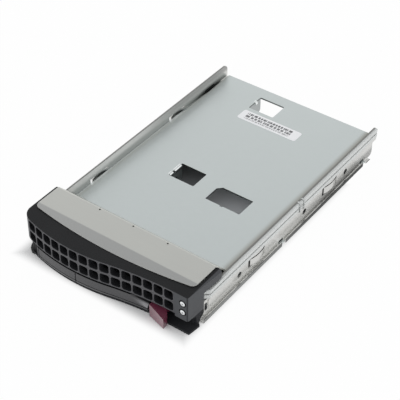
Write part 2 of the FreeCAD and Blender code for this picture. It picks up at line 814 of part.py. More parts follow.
def rail(side):
    """Folded side rail: wall, bottom flange with an upturned lip, spring leaves, boss, holes and slots."""
    body = new_body(f"{side}_rail")
    inner, outer = RAIL_INNER, RAIL_OUTER
    wall_low, wall_high = across(side, inner, outer)
    rear = ahead("0")
    heel = ahead("rail_heel_step")
    flange_end = ahead("flange_rear_gap")
    wall = [
        (behind("rail_front"), "rail_bend"),
        (flange_end, "rail_bend"),
        (flange_end, "0"),
        (f"{heel} - rail_heel_corner", "0", "rail_heel_corner", LEFT),
        (heel, "rail_heel_corner"),
        (heel, "rail_heel_height"),
        (rear, "rail_heel_height"),
        (rear, "rail_height - rail_top_corner", "rail_top_corner", LEFT),
        (f"{rear} - rail_top_corner", "rail_height"),
        (behind("rail_front"), "rail_height"),
    ]
    pad(body, "YZ_Plane", wall_low, wall_high, wall)
    foot = [
        (inner, "lip_height"),
        (inner, "rail_bend", "rail_bend", LEFT),
        (f"{inner} + rail_bend", "0"),
        (f"{FLANGE_OUTER} - lip_bend", "0", "lip_bend", LEFT),
        (FLANGE_OUTER, "lip_bend"),
        (FLANGE_OUTER, "lip_height"),
        (f"{FLANGE_OUTER} - rail_sheet", "lip_height"),
        (f"{FLANGE_OUTER} - rail_sheet", "lip_bend", "lip_bend - rail_sheet", RIGHT),
        (f"{FLANGE_OUTER} - lip_bend", "rail_sheet"),
        (f"{inner} + rail_bend", "rail_sheet", "rail_bend - rail_sheet", RIGHT),
        (outer, "rail_bend"),
        (outer, "lip_height"),
    ]
    pad(body, "XZ_Plane", behind("flange_front"), flange_end, on_side(side, foot))
    # Embossed boss near the front: raised outside, hollow inside.
    boss = [behind("boss_front"), behind("boss_front + boss_length"), "boss_bottom", "boss_top"]
    low, high = across(side, outer, f"{outer} + boss_rise")
    pad(body, "YZ_Plane", low, high, rounded(*boss, "((boss_top - boss_bottom) / 3)"))
    low, high = across(side, inner, f"{inner} + boss_rise")
    pocket(body, "YZ_Plane", low, high, rounded(*boss, "((boss_top - boss_bottom) / 3)"))
    # Holes, the slot near the rear end and the slot for the bezel's catch.
    holes = [(place, "large_hole_height", "large_hole_radius") for place in LARGE_HOLES]
    slot = rounded(ahead("rail_slot_from_rear + rail_slot_length / 2"),
                   ahead("rail_slot_from_rear - rail_slot_length / 2"),
                   "rail_slot_level - rail_slot_height / 2", "rail_slot_level + rail_slot_height / 2",
                   "(rail_slot_height / 3)")
    catch = rectangle(behind("catch_front - catch_clearance"),
                      behind("catch_front + catch_length + catch_clearance"),
                      "catch_bottom - catch_clearance", "catch_top + catch_clearance")
    pocket(body, "YZ_Plane", wall_low, wall_high, slot, catch, circles=holes)
    # Notches in the foot for the plate's hooks.
    for place in HOOK_PLACES:
        notch = rectangle(inner, FLANGE_OUTER, f"{place} - hook_width / 2 - hook_clearance",
                          f"{place} + hook_width / 2 + hook_clearance")
        pocket(body, "XY_Plane", "0", "lip_height", on_side(side, notch))
    # Behind the last hook the flange has no lip.
    lipless = rectangle(f"{FLANGE_OUTER} - lip_bend", FLANGE_OUTER, HOOK_PLACES[0], flange_end)
    pocket(body, "XY_Plane", "rail_sheet", "lip_height", on_side(side, lipless))
    # The right rail's upper front corner is open where the light pipes turn in.
    if side == RIGHT_SIDE:
        opening = rectangle(behind("rail_front"), behind("pipe_jog_rear + pipe_gap"),
                            "lower_pipe_bottom - pipe_gap", "rail_height")
        pocket(body, "YZ_Plane", wall_low, wall_high, opening)
    # Spring leaves: a window in the wall, and a leaf that bows outwards from its rear end.
    for shift in ("0", "leaf_pitch"):
        root = ahead(f"leaf_from_rear + {shift}")
        tip = ahead(f"leaf_from_rear + {shift} + leaf_length")
        window = rectangle(tip, root, "leaf_bottom", "leaf_top")
        pocket(body, "YZ_Plane", wall_low, wall_high, window)
        leaf = [
            (inner, f"{root} + rail_sheet"),
            (inner, root, "leaf_radius", RIGHT),
            (inner, f"{tip} + leaf_front_gap"),
            (outer, f"{tip} + leaf_front_gap", "leaf_radius", LEFT),
            (outer, root),
            (outer, f"{root} + rail_sheet"),
        ]
        pad(body, "XY_Plane", "leaf_bottom + leaf_slit", "leaf_top - leaf_slit", on_side(side, leaf))
    return body


def handle_lever():
    """Lever that follows the bow of the front, with the barrel round its pin."""
    body = new_body("handle_lever")
    front = [
        ("lever_tip", hollow_at("lever_tip", "0"), "hollow_radius", LEFT),
        bow_tangent("0"),
        ("lever_root", full_at("lever_root", "0")),
    ]
    back = [
        ("lever_tip", hollow_at("lever_tip", "lever_depth"), "hollow_radius + lever_depth", LEFT),
        bow_tangent("lever_depth"),
        ("lever_root", full_at("lever_root", "lever_depth")),
    ]
    blade = pad(body, "XY_Plane", LEVER_BOTTOM, "lever_top", front + backwards(back))
    # Bevel along the lower front edge.
    bottom = number(LEVER_BOTTOM)
    radii = [number("hollow_radius"), number("bow_radius")]
    edges = [f"Edge{i}" for i, edge in enumerate(blade.Shape.Edges, start=1)
             if edge.Curve.TypeId == "Part::GeomCircle" and abs(edge.CenterOfMass.z - bottom) < 1e-6
             and any(abs(edge.Curve.Radius - radius) < 1e-6 for radius in radii)]
    bevel = body.newObject("PartDesign::Chamfer", "handle_lever_bevel")
    bevel.Base = (blade, edges)
    bevel.setExpression("Size", bound("lever_bevel"))
    doc.recompute()
    # Barrel round the pin, with a pocket for the torsion spring.
    bore = ("pin_x", PIN_Y, "pin_radius + pin_clearance")
    pad(body, "XY_Plane", LEVER_BOTTOM, BARREL_TOP, circles=[("pin_x", PIN_Y, "barrel_radius")])
    pocket(body, "XY_Plane", COIL_FLOOR, BARREL_TOP, circles=[("pin_x", PIN_Y, "coil_pocket_radius")])
    pocket(body, "XY_Plane", LEVER_BOTTOM, COIL_FLOOR, circles=[bore])
    # Thumb scoop that falls away towards the free end.
    tip_front = hollow_at("lever_tip", "0")
    scoop = [
        ("scoop_start", "lever_top"),
        ("lever_tip", "lever_top - scoop_drop"),
        ("lever_tip", "lever_top"),
    ]
    pocket(body, "XZ_Plane", behind("0"), f"{tip_front} + scoop_back", scoop)
    return body


def release_button():
    """Button beside the lever's free end, with the stem that slides on the bay's guide rib."""
    body = new_body("release_button")
    left = "lever_tip + button_gap"
    right = f"{left} + button_width"
    head = [
        (left, behind("button_depth")),
        (left, behind("button_front + button_rake")),
        (right, behind("button_front")),
        (right, behind("button_front + button_rake")),
        (f"{right} - button_taper", behind("button_depth")),
    ]
    pad(body, "XY_Plane", LEVER_BOTTOM, "button_top", head)
    stem = rectangle(left, f"{left} + stem_width", behind("button_depth"), behind("stem_end"))
    pad(body, "XY_Plane", LEVER_BOTTOM, "button_top", stem)
    groove = rectangle(left, f"{left} + stem_width", behind("guide_place - guide_clearance"),
                       behind("guide_place + guide_width + guide_clearance"))
    pocket(body, "XY_Plane", LEVER_BOTTOM, "shelf_thickness + guide_height + guide_clearance", groove)
    return body


def light_pipe(label, bottom, lens_height):
    """Clear bar along the right rail that jogs inside the bezel and ends in a round lens."""
    body = new_body(label)
    outer = RAIL_OUTER
    blade_left, blade_right = "lens_x - pipe_width / 2", "lens_x + pipe_width / 2"
    lens_front = behind("bow_depth - lens_proud")
    blade_front = f"{lens_front} + lens_length"
    top = f"{bottom} + pipe_height"
    bar = [
        (outer, ahead("pipe_rear_gap")),
        (outer, behind("pipe_jog_rear")),
        (blade_left, behind("pipe_jog_front")),
        (blade_left, blade_front),
        (blade_right, blade_front),
        (blade_right, behind("pipe_jog_front - pipe_width / 2")),
        (f"{outer} + pipe_width", behind("pipe_jog_rear - pipe_width / 2")),
        (f"{outer} + pipe_width", ahead("pipe_rear_gap")),
    ]
    pad(body, "XY_Plane", bottom, top, bar)
    riser = rectangle(blade_left, blade_right, blade_front, behind("pipe_jog_front"))
    pad(body, "XY_Plane", bottom, f"{lens_height} + lens_radius", riser)
    pad(body, "XZ_Plane", lens_front, blade_front, circles=[("lens_x", lens_height, "lens_radius")])
    return body


def light_pipe_clip():
    """Clip with three prongs round the two pipes, hooked over the top of the right rail."""
    body = new_body("light_pipe_clip")
    inner, outer = RAIL_INNER, RAIL_OUTER
    web = f"{outer} + pipe_width + clip_clearance"
    lower, upper = "lower_pipe_bottom", "upper_pipe_bottom"
    section = [
        (f"{web} + clip_wall", f"{lower} - clip_clearance - clip_wall"),
        (f"{web} + clip_wall", "rail_height + clip_clearance + clip_wall"),
        (f"{inner} - clip_clearance - clip_wall", "rail_height + clip_clearance + clip_wall"),
        (f"{inner} - clip_clearance - clip_wall", "rail_height - 2 * clip_wall"),
        (f"{inner} - clip_clearance", "rail_height - 2 * clip_wall"),
        (f"{inner} - clip_clearance", "rail_height + clip_clearance"),
        (web, "rail_height + clip_clearance"),
        (web, f"{upper} - clip_clearance"),
        (outer, f"{upper} - clip_clearance"),
        (outer, f"{lower} + pipe_height + clip_clearance"),
        (web, f"{lower} + pipe_height + clip_clearance"),
        (web, f"{lower} - clip_clearance"),
        (outer, f"{lower} - clip_clearance"),
        (outer, f"{lower} - clip_clearance - clip_wall"),
    ]
    front, rear = ahead("clip_from_rear + clip_length / 2"), ahead("clip_from_rear - clip_length / 2")
    pad(body, "XZ_Plane", front, rear, section)
    return body


def place(item, x, y, z):
    """Tie an object's position to the sheet."""
    for axis, expression in zip("xyz", (x, y, z)):
        item.setExpression(f"Placement.Base.{axis}", bound(expression))


def cylinder(label, x, y, low, high, radius):
    """Upright cylinder between two levels."""
    item = doc.addObject("Part::Cylinder", label)
    item.Label = label
    item.setExpression("Radius", bound(radius))
    item.setExpression("Height", bound(f"({high}) - ({low})"))
    place(item, x, y, low)
    return item


def lever_pin():
    """Upright pin through the shelf, the lever and the roof of its bay."""
    top = "bay_top + bay_roof - bay_clearance"
    return cylinder("lever_pin", "pin_x", PIN_Y, "bay_clearance", top, "pin_radius")


def lever_spring():
    """Torsion spring: round wire along a short helix with a straight leg off each end."""
    radius, wire, leg = number("coil_radius"), number("coil_wire"), number("coil_leg")
    pitch, turns = number("coil_pitch"), number("coil_turns")
    climb = pitch / math.tau
    turn = math.tau * turns
    first = FreeCAD.Vector(radius, 0, 0)
    last = FreeCAD.Vector(radius * math.cos(turn), radius * math.sin(turn), pitch * turns)
    setting_off = FreeCAD.Vector(0, radius, climb).normalize()
    running_out = FreeCAD.Vector(-radius * math.sin(turn), radius * math.cos(turn), climb).normalize()
    lower_end, upper_end = first - setting_off * leg, last + running_out * leg
    helix = Part.makeHelix(pitch, pitch * turns, radius)
    path = Part.Wire([Part.makeLine(lower_end, first), *helix.Edges, Part.makeLine(last, upper_end)])
    section = Part.Wire(Part.makeCircle(wire, lower_end, setting_off))
    spring = doc.addObject("Part::Feature", "lever_spring")
    spring.Label = "lever_spring"
    spring.Shape = path.makePipeShell([section], True, True)
    place(spring, "pin_x", PIN_Y, f"{COIL_FLOOR} + coil_gap + coil_wire")
    doc.recompute()
    return spring


def button_spring():
    """Return spring between the button's stem and the bay's right wall: a wire swept along a helix in X."""
    left = "lever_tip + button_gap + stem_width + return_wire + return_gap"
    right = "bezel_half - bay_side_inset - bezel_wall - return_wire - return_gap"
    helix = doc.addObject("Part::Helix", "return_helix")
    helix.setExpression("Radius", bound("return_radius"))
    helix.setExpression("Pitch", bound(f"({right} - ({left})) / return_turns"))
    helix.setExpression("Height", bound(f"{right} - ({left})"))
    section = doc.addObject("Part::Circle", "return_section")
    section.setExpression("Radius", bound("return_wire"))
    section.Placement.Rotation = FreeCAD.Rotation(FreeCAD.Vector(1, 0, 0), 90)
    section.setExpression("Placement.Base.x", bound("return_radius"))
    spring = doc.addObject("Part::Sweep", "button_spring")
    spring.Label = "button_spring"
    spring.Sections = [section]
    spring.Spine = (helix, ["Edge1"])
    spring.Solid = True
    spring.Frenet = True
    spring.Placement.Rotation = FreeCAD.Rotation(FreeCAD.Vector(0, 1, 0), 90)
    place(spring, left, behind("return_place"), "return_level")
    doc.recompute()
    return spring


PIECES = [
    front_bezel(),
    front_cover(),
    adapter_plate(),
    plate_label(),
    rail(RIGHT_SIDE),
    rail(LEFT_SIDE),
    handle_lever(),
    lever_pin(),
    lever_spring(),
    release_button(),
    button_spring(),
    light_pipe("lower_light_pipe", "lower_pipe_bottom", "lower_lens_height"),
    light_pipe("upper_light_pipe", "upper_pipe_bottom", "upper_lens_height"),
    light_pipe_clip(),
]
doc.recompute()

for item in doc.Objects:
    if "Invalid" in item.State or "Error" in item.State:
        raise RuntimeError(f"{item.Label} failed: {item.State}")
for piece in PIECES:
    if piece.Shape.isNull() or not piece.Shape.isValid() or not piece.Shape.Solids:
        raise RuntimeError(f"{piece.Label} has no valid solid")

os.makedirs("parts", exist_ok=True)
for piece in PIECES:
    piece.Shape.exportStep(f"parts/{piece.Label}.step")
    box = piece.Shape.BoundBox
    print(f"{piece.Label}: {len(piece.Shape.Solids)} solid, {piece.Shape.Volume:.1f} mm3, "
          f"X {box.XMin:.2f} to {box.XMax:.2f}, Y {box.YMin:.2f} to {box.YMax:.2f}, "
          f"Z {box.ZMin:.2f} to {box.ZMax:.2f}")
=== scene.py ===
# %% [markdown]
# # A drive tray, dressed for its portrait
#
# The CAD model gives the frame: every piece at its real size, in metres, with +Y running from the
# grille to the connector end. This lesson leaves those pieces where they are and gives them finishes,
# rounds what a moulding tool or a press would round, and lights the tray as a studio would.

# %% Load the frame
import math

import bmesh
import bpy
import numpy as np
from mathutils import Matrix, Vector


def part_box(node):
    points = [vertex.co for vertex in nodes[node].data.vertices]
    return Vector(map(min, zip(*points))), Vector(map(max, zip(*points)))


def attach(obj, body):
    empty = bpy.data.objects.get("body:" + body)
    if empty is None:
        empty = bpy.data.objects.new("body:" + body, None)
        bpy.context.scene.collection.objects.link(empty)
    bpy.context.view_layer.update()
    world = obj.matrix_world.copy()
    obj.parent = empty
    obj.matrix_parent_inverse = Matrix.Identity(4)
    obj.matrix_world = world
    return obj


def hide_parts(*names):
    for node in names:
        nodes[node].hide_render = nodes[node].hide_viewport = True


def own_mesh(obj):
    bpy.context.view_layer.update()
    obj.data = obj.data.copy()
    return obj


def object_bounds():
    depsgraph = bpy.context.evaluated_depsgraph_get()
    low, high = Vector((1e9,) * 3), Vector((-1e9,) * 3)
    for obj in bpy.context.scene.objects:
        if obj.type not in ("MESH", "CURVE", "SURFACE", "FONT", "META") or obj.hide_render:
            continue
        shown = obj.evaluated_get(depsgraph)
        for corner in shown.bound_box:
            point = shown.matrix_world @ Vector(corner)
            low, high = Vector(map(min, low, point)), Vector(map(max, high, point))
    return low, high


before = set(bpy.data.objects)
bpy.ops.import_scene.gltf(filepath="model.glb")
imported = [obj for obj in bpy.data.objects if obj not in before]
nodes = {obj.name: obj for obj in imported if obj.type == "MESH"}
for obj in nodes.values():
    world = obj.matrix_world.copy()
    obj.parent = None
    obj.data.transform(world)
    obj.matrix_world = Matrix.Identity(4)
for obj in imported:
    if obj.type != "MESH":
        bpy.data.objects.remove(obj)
cad_low, cad_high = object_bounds()
MM = 0.001
scene = bpy.context.scene
print("nodes:", ", ".join(sorted(nodes)))
print("CAD box in mm:", [round(v / MM, 1) for v in (cad_high - cad_low)])

# %% [markdown]
# ## The camera
#
# The portrait was taken from the front right, a little above the tray. A camera could be placed by
# eye, but four things fix it better: where it looks, the two angles it looks from and how far away
# it stands. The long lens keeps the rails nearly parallel, and the horizon leans by under half a degree.

# %% Camera
LOOK_AT = Vector((-1.83, -2.66, 0.94)) * MM
AZIMUTH, ELEVATION, LEAN = (math.radians(a) for a in (35.86, 40.28, 0.416))
STAND_OFF = 669.8 * MM
LENS, SENSOR, NEAREST = 111.9, 36.0, 0.01


def away(azimuth, elevation):
    """The unit vector from the tray towards two angles in radians, where 0, 0 is straight in front."""
    flat = math.cos(elevation)
    return Vector((math.sin(azimuth) * flat, -math.cos(azimuth) * flat, math.sin(elevation)))


def facing_back(direction):
    """The turn of a camera or lamp that stands in some direction and looks back at the tray."""
    return direction.to_track_quat("Z", "Y").to_matrix().to_4x4()


backwards = away(AZIMUTH, ELEVATION)
camera = bpy.data.objects.new("camera", bpy.data.cameras.new("camera"))
camera.data.lens = LENS
camera.data.sensor_width = SENSOR
camera.data.clip_start = NEAREST
turn = facing_back(backwards) @ Matrix.Rotation(LEAN, 4, "Z")
camera.matrix_world = Matrix.Translation(LOOK_AT + backwards * STAND_OFF) @ turn
scene.collection.objects.link(camera)
scene.camera = camera
scene.view_settings.view_transform = "Standard"
print("camera at", [round(v / MM) for v in camera.location], "mm")

# %% [markdown]
# ## Writing shaders as sums
#
# A finish is a network of nodes, and wiring it by hand hides what it means. Two small helpers let
# the network be written as arithmetic. `Field` wraps one socket, so `1 - mask` adds a Math node.
# `Finish` is one network, and its `add` method makes any other node: type first, then the settings,
# then what goes into each socket.

# %% Shader helpers
# The black that painted shade mixes in.
SHADE_BLACK = (0.004, 0.004, 0.005, 1.0)


class Field:
    """A number that varies over a surface. Arithmetic on it adds Math nodes to its finish."""

    def __init__(self, finish, socket):
        self.finish, self.socket = finish, socket

    def math(self, operation, *values):
        return self.finish.add("ShaderNodeMath", {"operation": operation}, dict(enumerate(values)))

    def __add__(self, other):
        return self.math("ADD", self, other)

    def __sub__(self, other):
        return self.math("SUBTRACT", self, other)

    def __rsub__(self, other):
        return self.math("SUBTRACT", other, self)

    def __mul__(self, other):
        return self.math("MULTIPLY", self, other)

    def __abs__(self):
        return self.math("ABSOLUTE", self)

    __radd__, __rmul__ = __add__, __mul__

    def most(self, other):
        return self.math("MAXIMUM", self, other)

    def rise(self, start, end):
        """0 below start, 1 above end and a smooth climb between them."""
        sockets = {"Value": self, "From Min": start, "From Max": end}
        return self.finish.add("ShaderNodeMapRange", {"interpolation_type": "SMOOTHSTEP"}, sockets)

    def within(self, low, high, soft):
        """1 between two values and 0 outside them, with soft edges."""
        return self.rise(low - soft, low + soft) * (1 - self.rise(high - soft, high + soft))


class Finish:
    """The node network of a material or world, with its nodes made by add()."""

    def __init__(self, owner):
        owner.use_nodes = True
        self.owner, self.tree = owner, owner.node_tree
        self.tree.nodes.clear()

    def add(self, kind, settings=None, sockets=None, output=0):
        """Make a node of some type with its settings and sockets, and return one of its outputs."""
        node = self.tree.nodes.new(kind)
        for name, value in (settings or {}).items():
            if name == "stops":
                ramp = node.color_ramp.elements
                while len(ramp) < len(value):
                    ramp.new(1.0)
                for stop, (position, colour) in zip(ramp, value):
                    stop.position, stop.color = position, (*colour, 1.0)
            else:
                setattr(node, name, value)
        for name, value in (sockets or {}).items():
            if isinstance(value, Field):
                self.tree.links.new(value.socket, node.inputs[name])
            else:
                node.inputs[name].default_value = value
        return Field(self, node.outputs[output]) if node.outputs else None

    def place(self, stretch=(1, 1, 1)):
        """Where a point lies in the object's own frame, stretched along the axes."""
        where = self.add("ShaderNodeTexCoord", output="Object")
        return self.add("ShaderNodeMapping", sockets={"Vector": where, "Scale": stretch})

    def axes(self):
        """The point's three coordinates, each as a field in millimetres."""
        parts = self.add("ShaderNodeSeparateXYZ", sockets={"Vector": self.place((1 / MM,) * 3)})
        return [Field(self, socket) for socket in parts.socket.node.outputs]

    def noise(self, size, detail=2.0, stretch=(1, 1, 1)):
        """Cloudy noise around 0.5 with features of about the given size."""
        sockets = {"Vector": self.place(stretch), "Scale": 1 / size, "Detail": detail}
        return self.add("ShaderNodeTexNoise", {"normalize": True}, sockets)

    def blend(self, share, first, second):
        """Mix two colours by a field."""
        four = [(*c, 1.0) if isinstance(c, tuple) else c for c in (first, second)]
        settings = {"data_type": "RGBA", "clamp_factor": True}
        return self.add("ShaderNodeMix", settings, {0: share, 6: four[0], 7: four[1]}, output=2)

    def bump(self, height, depth, normal=None):
        """Turn a height field into a normal, with the height's full range that deep."""
        sockets = {"Height": height, "Strength": 1.0, "Distance": depth}
        if normal:
            sockets["Normal"] = normal
        return self.add("ShaderNodeBump", sockets=sockets)

    def rounded(self, radius):
        """A normal that rounds sharp edges by a radius."""
        return self.add("ShaderNodeBevel", {"samples": 4}, {"Radius": radius})

    def seen(self):
        """1 for what the camera sees directly, in a mirror or through glass, and 0 for stray light."""
        path = self.add("ShaderNodeLightPath").socket.node.outputs
        kinds = ("Is Camera Ray", "Is Glossy Ray", "Is Transmission Ray")
        direct, mirrored, through = (Field(self, path[kind]) for kind in kinds)
        return direct.most(mirrored).most(through)

    def surface(self, painted_shade=None, **sockets):
        """Close the network with a Principled shader, mixed by a field of painted shade with a black that
        has no gloss.
        """
        named = {name.replace("_", " "): value for name, value in sockets.items()}
        if isinstance(named["Base Color"], tuple):
            named["Base Color"] = (*named["Base Color"], 1.0)
        shader = self.add("ShaderNodeBsdfPrincipled", sockets=named)
        if painted_shade:
            black = self.add("ShaderNodeBsdfDiffuse", sockets={"Color": SHADE_BLACK})
            shader = self.add("ShaderNodeMixShader", sockets={0: painted_shade, 1: shader, 2: black})
        self.add("ShaderNodeOutputMaterial", sockets={"Surface": shader})
        return self.owner


def new_finish(name):
    """An empty material to fill."""
    return Finish(bpy.data.materials.new(name))


def paint(material, *names):
    """Put one material on CAD nodes or new pieces."""
    for name in names:
        slots = bpy.data.objects[name].data.materials
        slots.clear()
        slots.append(material)
    print(material.name, "on", ", ".join(names))


print("a field knows", ", ".join(name for name in vars(Field) if not name.startswith("_")))

# %% [markdown]
# ## New pieces as grids
#
# A rounded rib, a handle or a lens is a surface: two numbers, one along it and one around it, give a
# point. numpy works out all the points at once as an array of rows and columns, and the faces follow
# from the rows and columns too. One helper turns such grids into a piece that rides on a body.

# %% Grid helpers
SMOOTH_BELOW, SAME_POINT = math.radians(40), 1e-7


def grid_faces(rows, columns, around=True, capped=False):
    """Corner numbers of a grid's quads. The last column may join the first, and the ends may be capped."""
    number = np.arange(rows * columns).reshape(rows, columns)
    if around:
        number = np.concatenate([number, number[:, :1]], axis=1)
    quads = np.stack([number[:-1, :-1], number[:-1, 1:], number[1:, 1:], number[1:, :-1]], axis=-1)
    faces = quads.reshape(-1, 4).tolist()
    if capped:
        faces += [number[0, :columns][::-1].tolist(), number[-1, :columns].tolist()]
    return faces


def make_piece(name, surfaces, body, material, depth=None):
    """Join surfaces, each (points in mm, faces), into one mesh in metres that rides on a body."""
    points, faces, first = [], [], 0
    for grid, corners in surfaces:
        flat = grid.reshape(-1, 3)
        points.append(flat)
        faces += [[first + corner for corner in face] for face in corners]
        first += len(flat)
    mesh = bpy.data.meshes.new(name)
    mesh.from_pydata(np.concatenate(points) * MM, [], faces)
    if depth is not None:
        kept = mesh.attributes.new("depth", "FLOAT", "POINT")
        kept.data.foreach_set("value", depth.astype(np.float32).ravel())
    turn_outwards(mesh)
    mesh.polygons.foreach_set("use_smooth", np.ones(len(mesh.polygons), bool))
    mesh.set_sharp_from_angle(angle=SMOOTH_BELOW)
    mesh.materials.append(material)
    piece = bpy.data.objects.new(name, mesh)
    scene.collection.objects.link(piece)
    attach(piece, body)
    print(name, "has", len(mesh.polygons), "faces and rides on", body)
    return piece


def turn_outwards(mesh):
    """Merge doubled corners and turn every face of each closed shell outwards."""
    work = bmesh.new()
    work.from_mesh(mesh)
    bmesh.ops.remove_doubles(work, verts=work.verts, dist=SAME_POINT)
    bmesh.ops.recalc_face_normals(work, faces=work.faces)
    work.to_mesh(mesh)
    work.free()


def thicken(piece, depth, offset):
    """Give a sheet an even depth with a Solidify modifier: half each way at 0, all inwards at -1."""
    wall = piece.modifiers.new("thickness", "SOLIDIFY")
    wall.thickness, wall.offset = depth * MM, offset


def round_edges(piece, width, segments=2, angle=35.0):
    """Round a piece's sharp edges with a Bevel modifier."""
    bevel = piece.modifiers.new("round_edges", "BEVEL")
    bevel.width, bevel.segments = width * MM, segments
    bevel.limit_method, bevel.angle_limit = "ANGLE", math.radians(angle)


print("a closed band of 3 rows of 4 points has", len(grid_faces(3, 4)), "quads")

# %% [markdown]
# ## Charcoal moulding
#
# The bezel is a glass-filled plastic with a fine spark-eroded skin. Plain dark grey would look like
# a void, so the colour drifts a little and a grain is bumped in. The top is painted darker and the sides
# paler, as painted shade and painted light. Deep inside the grille box and under the panel, painted
# shade takes the moulding nearly to black, and a dark strip runs down the arm's seam.

# %% Bezel plastic
GRAIN, DRIFT, GRAIN_DEPTH, SHARP_EDGE = 0.35 * MM, 14 * MM, 0.01 * MM, 0.2 * MM
GRAIN_GLOSS = 0.12
BOX_HALF, BAY_TOP, PANEL_LOW = 50.0, 10.1, 8.4
GRILLE_LEFT, GRILLE_RIGHT = -46.4, 43.3
WALL_BACK, ARM_SEAM, ARM_SEAM_BACK = (6.4, 7.0), (50.95, 51.35), (6.0, 7.2)
BOX_SHADE, BELOW_SHADE, SEAM_DARKNESS = 0.72, 0.62, 0.6


def moulded_skin(finish):
    """What every moulding shares: a fine grain, and a tone of slow drift and grain between 0 and 1."""
    grain = finish.noise(GRAIN, detail=3.0)
    return grain, finish.noise(DRIFT) * 0.7 + grain * 0.3


def moulded_plastic(name, dark, light, roughness, gloss=0.5, coat=0.0, edge=SHARP_EDGE):
    """Moulded plastic: two close tones, a fine grain and rounded edges."""
    finish = new_finish(name)
    grain, tone = moulded_skin(finish)
    return finish.surface(
        Base_Color=finish.blend(tone, dark, light),
        Roughness=roughness + (grain - 0.5) * GRAIN_GLOSS,
        Specular_IOR_Level=gloss,
        Coat_Weight=coat,
        Normal=finish.bump(grain, GRAIN_DEPTH, finish.rounded(edge)),
    )


def bezel_plastic():
    """The bezel's moulding: painted shade darkens the top and painted light pales the sides; painted shade
    takes the hollows nearly to black.
    """
    finish = new_finish("charcoal_moulding")
    x, y, z = finish.axes()
    box_low, box_high = (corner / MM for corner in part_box("front_bezel"))
    back = y - box_low.y
    across = 1 - abs(x).rise(BOX_HALF - 0.2, BOX_HALF + 0.2)
    # Masks for painted shade inside the grille box and under the panel, and for a dark strip at the arm's
    # seam.
    box = z.within(BAY_TOP + 0.4, box_high.z - 1.6, 0.3) * across * back.rise(*WALL_BACK)
    grille = x.within(GRILLE_LEFT, GRILLE_RIGHT, 0.05) * z.within(BAY_TOP + 0.3, box_high.z - 0.3, 0.05)
    inside = box.most(grille)
    below = 1 - z.rise(PANEL_LOW - 0.3, PANEL_LOW + 0.1)
    top = z.rise(box_high.z - 0.25, box_high.z - 0.05)
    arm_seam = x.within(*ARM_SEAM, 0.15) * back.within(*ARM_SEAM_BACK, 0.2) * (1 - top)
    grain, tone = moulded_skin(finish)
    # Painted light on the sides and painted shade on the top, as the light falls on them.
    sides_painted_light = finish.blend(tone, (0.052, 0.055, 0.060), (0.068, 0.071, 0.077))
    matt_shaded = finish.blend(tone, (0.007, 0.0075, 0.0085), (0.012, 0.0125, 0.0138))
    return finish.surface(
        painted_shade=(inside * BOX_SHADE).most(below * BELOW_SHADE).most(arm_seam * SEAM_DARKNESS),
        Base_Color=finish.blend(top, sides_painted_light, matt_shaded),
        Roughness=0.46 + (grain - 0.5) * GRAIN_GLOSS + top * 0.08,
        Specular_IOR_Level=0.22,
        Normal=finish.bump(grain, GRAIN_DEPTH, finish.rounded(SHARP_EDGE)),
    )


paint(bezel_plastic(), "front_bezel")

# %% [markdown]
# ## The bow
#
# The grille, the lever and the gap between them all follow one curve. Seen from above it is a full arc
# that turns into a shallow hollow on the right, then a flat for the lamps, and a round corner on the left.
# Writing that curve once lets every piece on the front be placed by its distance along and off the bow.

# %% The bow
FRONT = cad_low.y / MM
BOW_APEX, BOW_RADIUS = -15.5, 105.0
HOLLOW_X, HOLLOW_DEPTH, HOLLOW_RADIUS = 45.66, 6.3, 195.0
CORNER_X, CORNER_RADIUS = -43.6, 8.0
CORNER_BACK = BOW_RADIUS - math.sqrt((BOW_RADIUS - CORNER_RADIUS) ** 2 - (CORNER_X - BOW_APEX) ** 2)
CORNER_START = BOW_APEX + (CORNER_X - BOW_APEX) * BOW_RADIUS / (BOW_RADIUS - CORNER_RADIUS)
HOLLOW_START = BOW_APEX + (HOLLOW_X - BOW_APEX) * BOW_RADIUS / (BOW_RADIUS + HOLLOW_RADIUS)


def bow(x):
    """How far the front lies behind its foremost point: circle arcs that meet without a kink."""
    corner = CORNER_BACK - np.sqrt(np.maximum(CORNER_RADIUS ** 2 - (x - CORNER_X) ** 2, 0))
    full = BOW_RADIUS - np.sqrt(BOW_RADIUS ** 2 - (x - BOW_APEX) ** 2)
    hollow = HOLLOW_DEPTH - HOLLOW_RADIUS + np.sqrt(HOLLOW_RADIUS ** 2 - (x - HOLLOW_X) ** 2)
    ranges = [x < CORNER_START, x < HOLLOW_START, x < HOLLOW_X]
    return np.select(ranges, [corner, full, hollow], HOLLOW_DEPTH)


def off_bow(x, proud, z, deep=0.0):
    """Points at x on the bow, moved off it along its normal, then straight back into the tray."""
    step = 0.01
    slope = (bow(x + step) - bow(x - step)) / (2 * step)
    length = np.sqrt(1 + slope ** 2)
    x, proud, z, deep = np.broadcast_arrays(x, proud, z, deep)
    return np.stack([x + proud * slope / length, FRONT + bow(x) - proud / length + deep, z], axis=-1)


print("bow runs back", [round(float(bow(np.array(x))), 2) for x in (-50.0, BOW_APEX, 20.0, 50.0)], "mm")

# %% [markdown]
# ## The grille's ribs
#
# The grille is two rows of rounded square holes, and what the eye reads is the ribs: narrow, a little
# crowned, and paler than the bezel's top as painted light, with a tone that drifts at random. Cutting
# holes would leave hard edges. Each cell is instead a ring of rounded rectangles that starts on the rib's
# middle line, rolls over the lip and runs down the hole's wall, so ribs of neighbouring cells meet exactly.
# How deep a ring lies is kept on the mesh, and painted shade darkens the finish with it, to black down the
# holes.

# %% Grille ribs
COLUMN_PITCH, FIRST_COLUMN, COLUMNS = 6.0, -43.55, 15
ROW_CENTRES = (13.7, 20.5)
ROW_PITCH = ROW_CENTRES[1] - ROW_CENTRES[0]
HOLE_HALF_WIDE, HOLE_HALF_HIGH, HOLE_CORNER = 2.58, 2.8, 1.25
LIP, RIB_PROUD, WALL, DRAFT, BACKING = 0.25, 0.2, 0.6, 0.06, 0.15
LIP_POINTS, RIM_CORNER, RIM_TUCK = 5, 0.02, 0.05


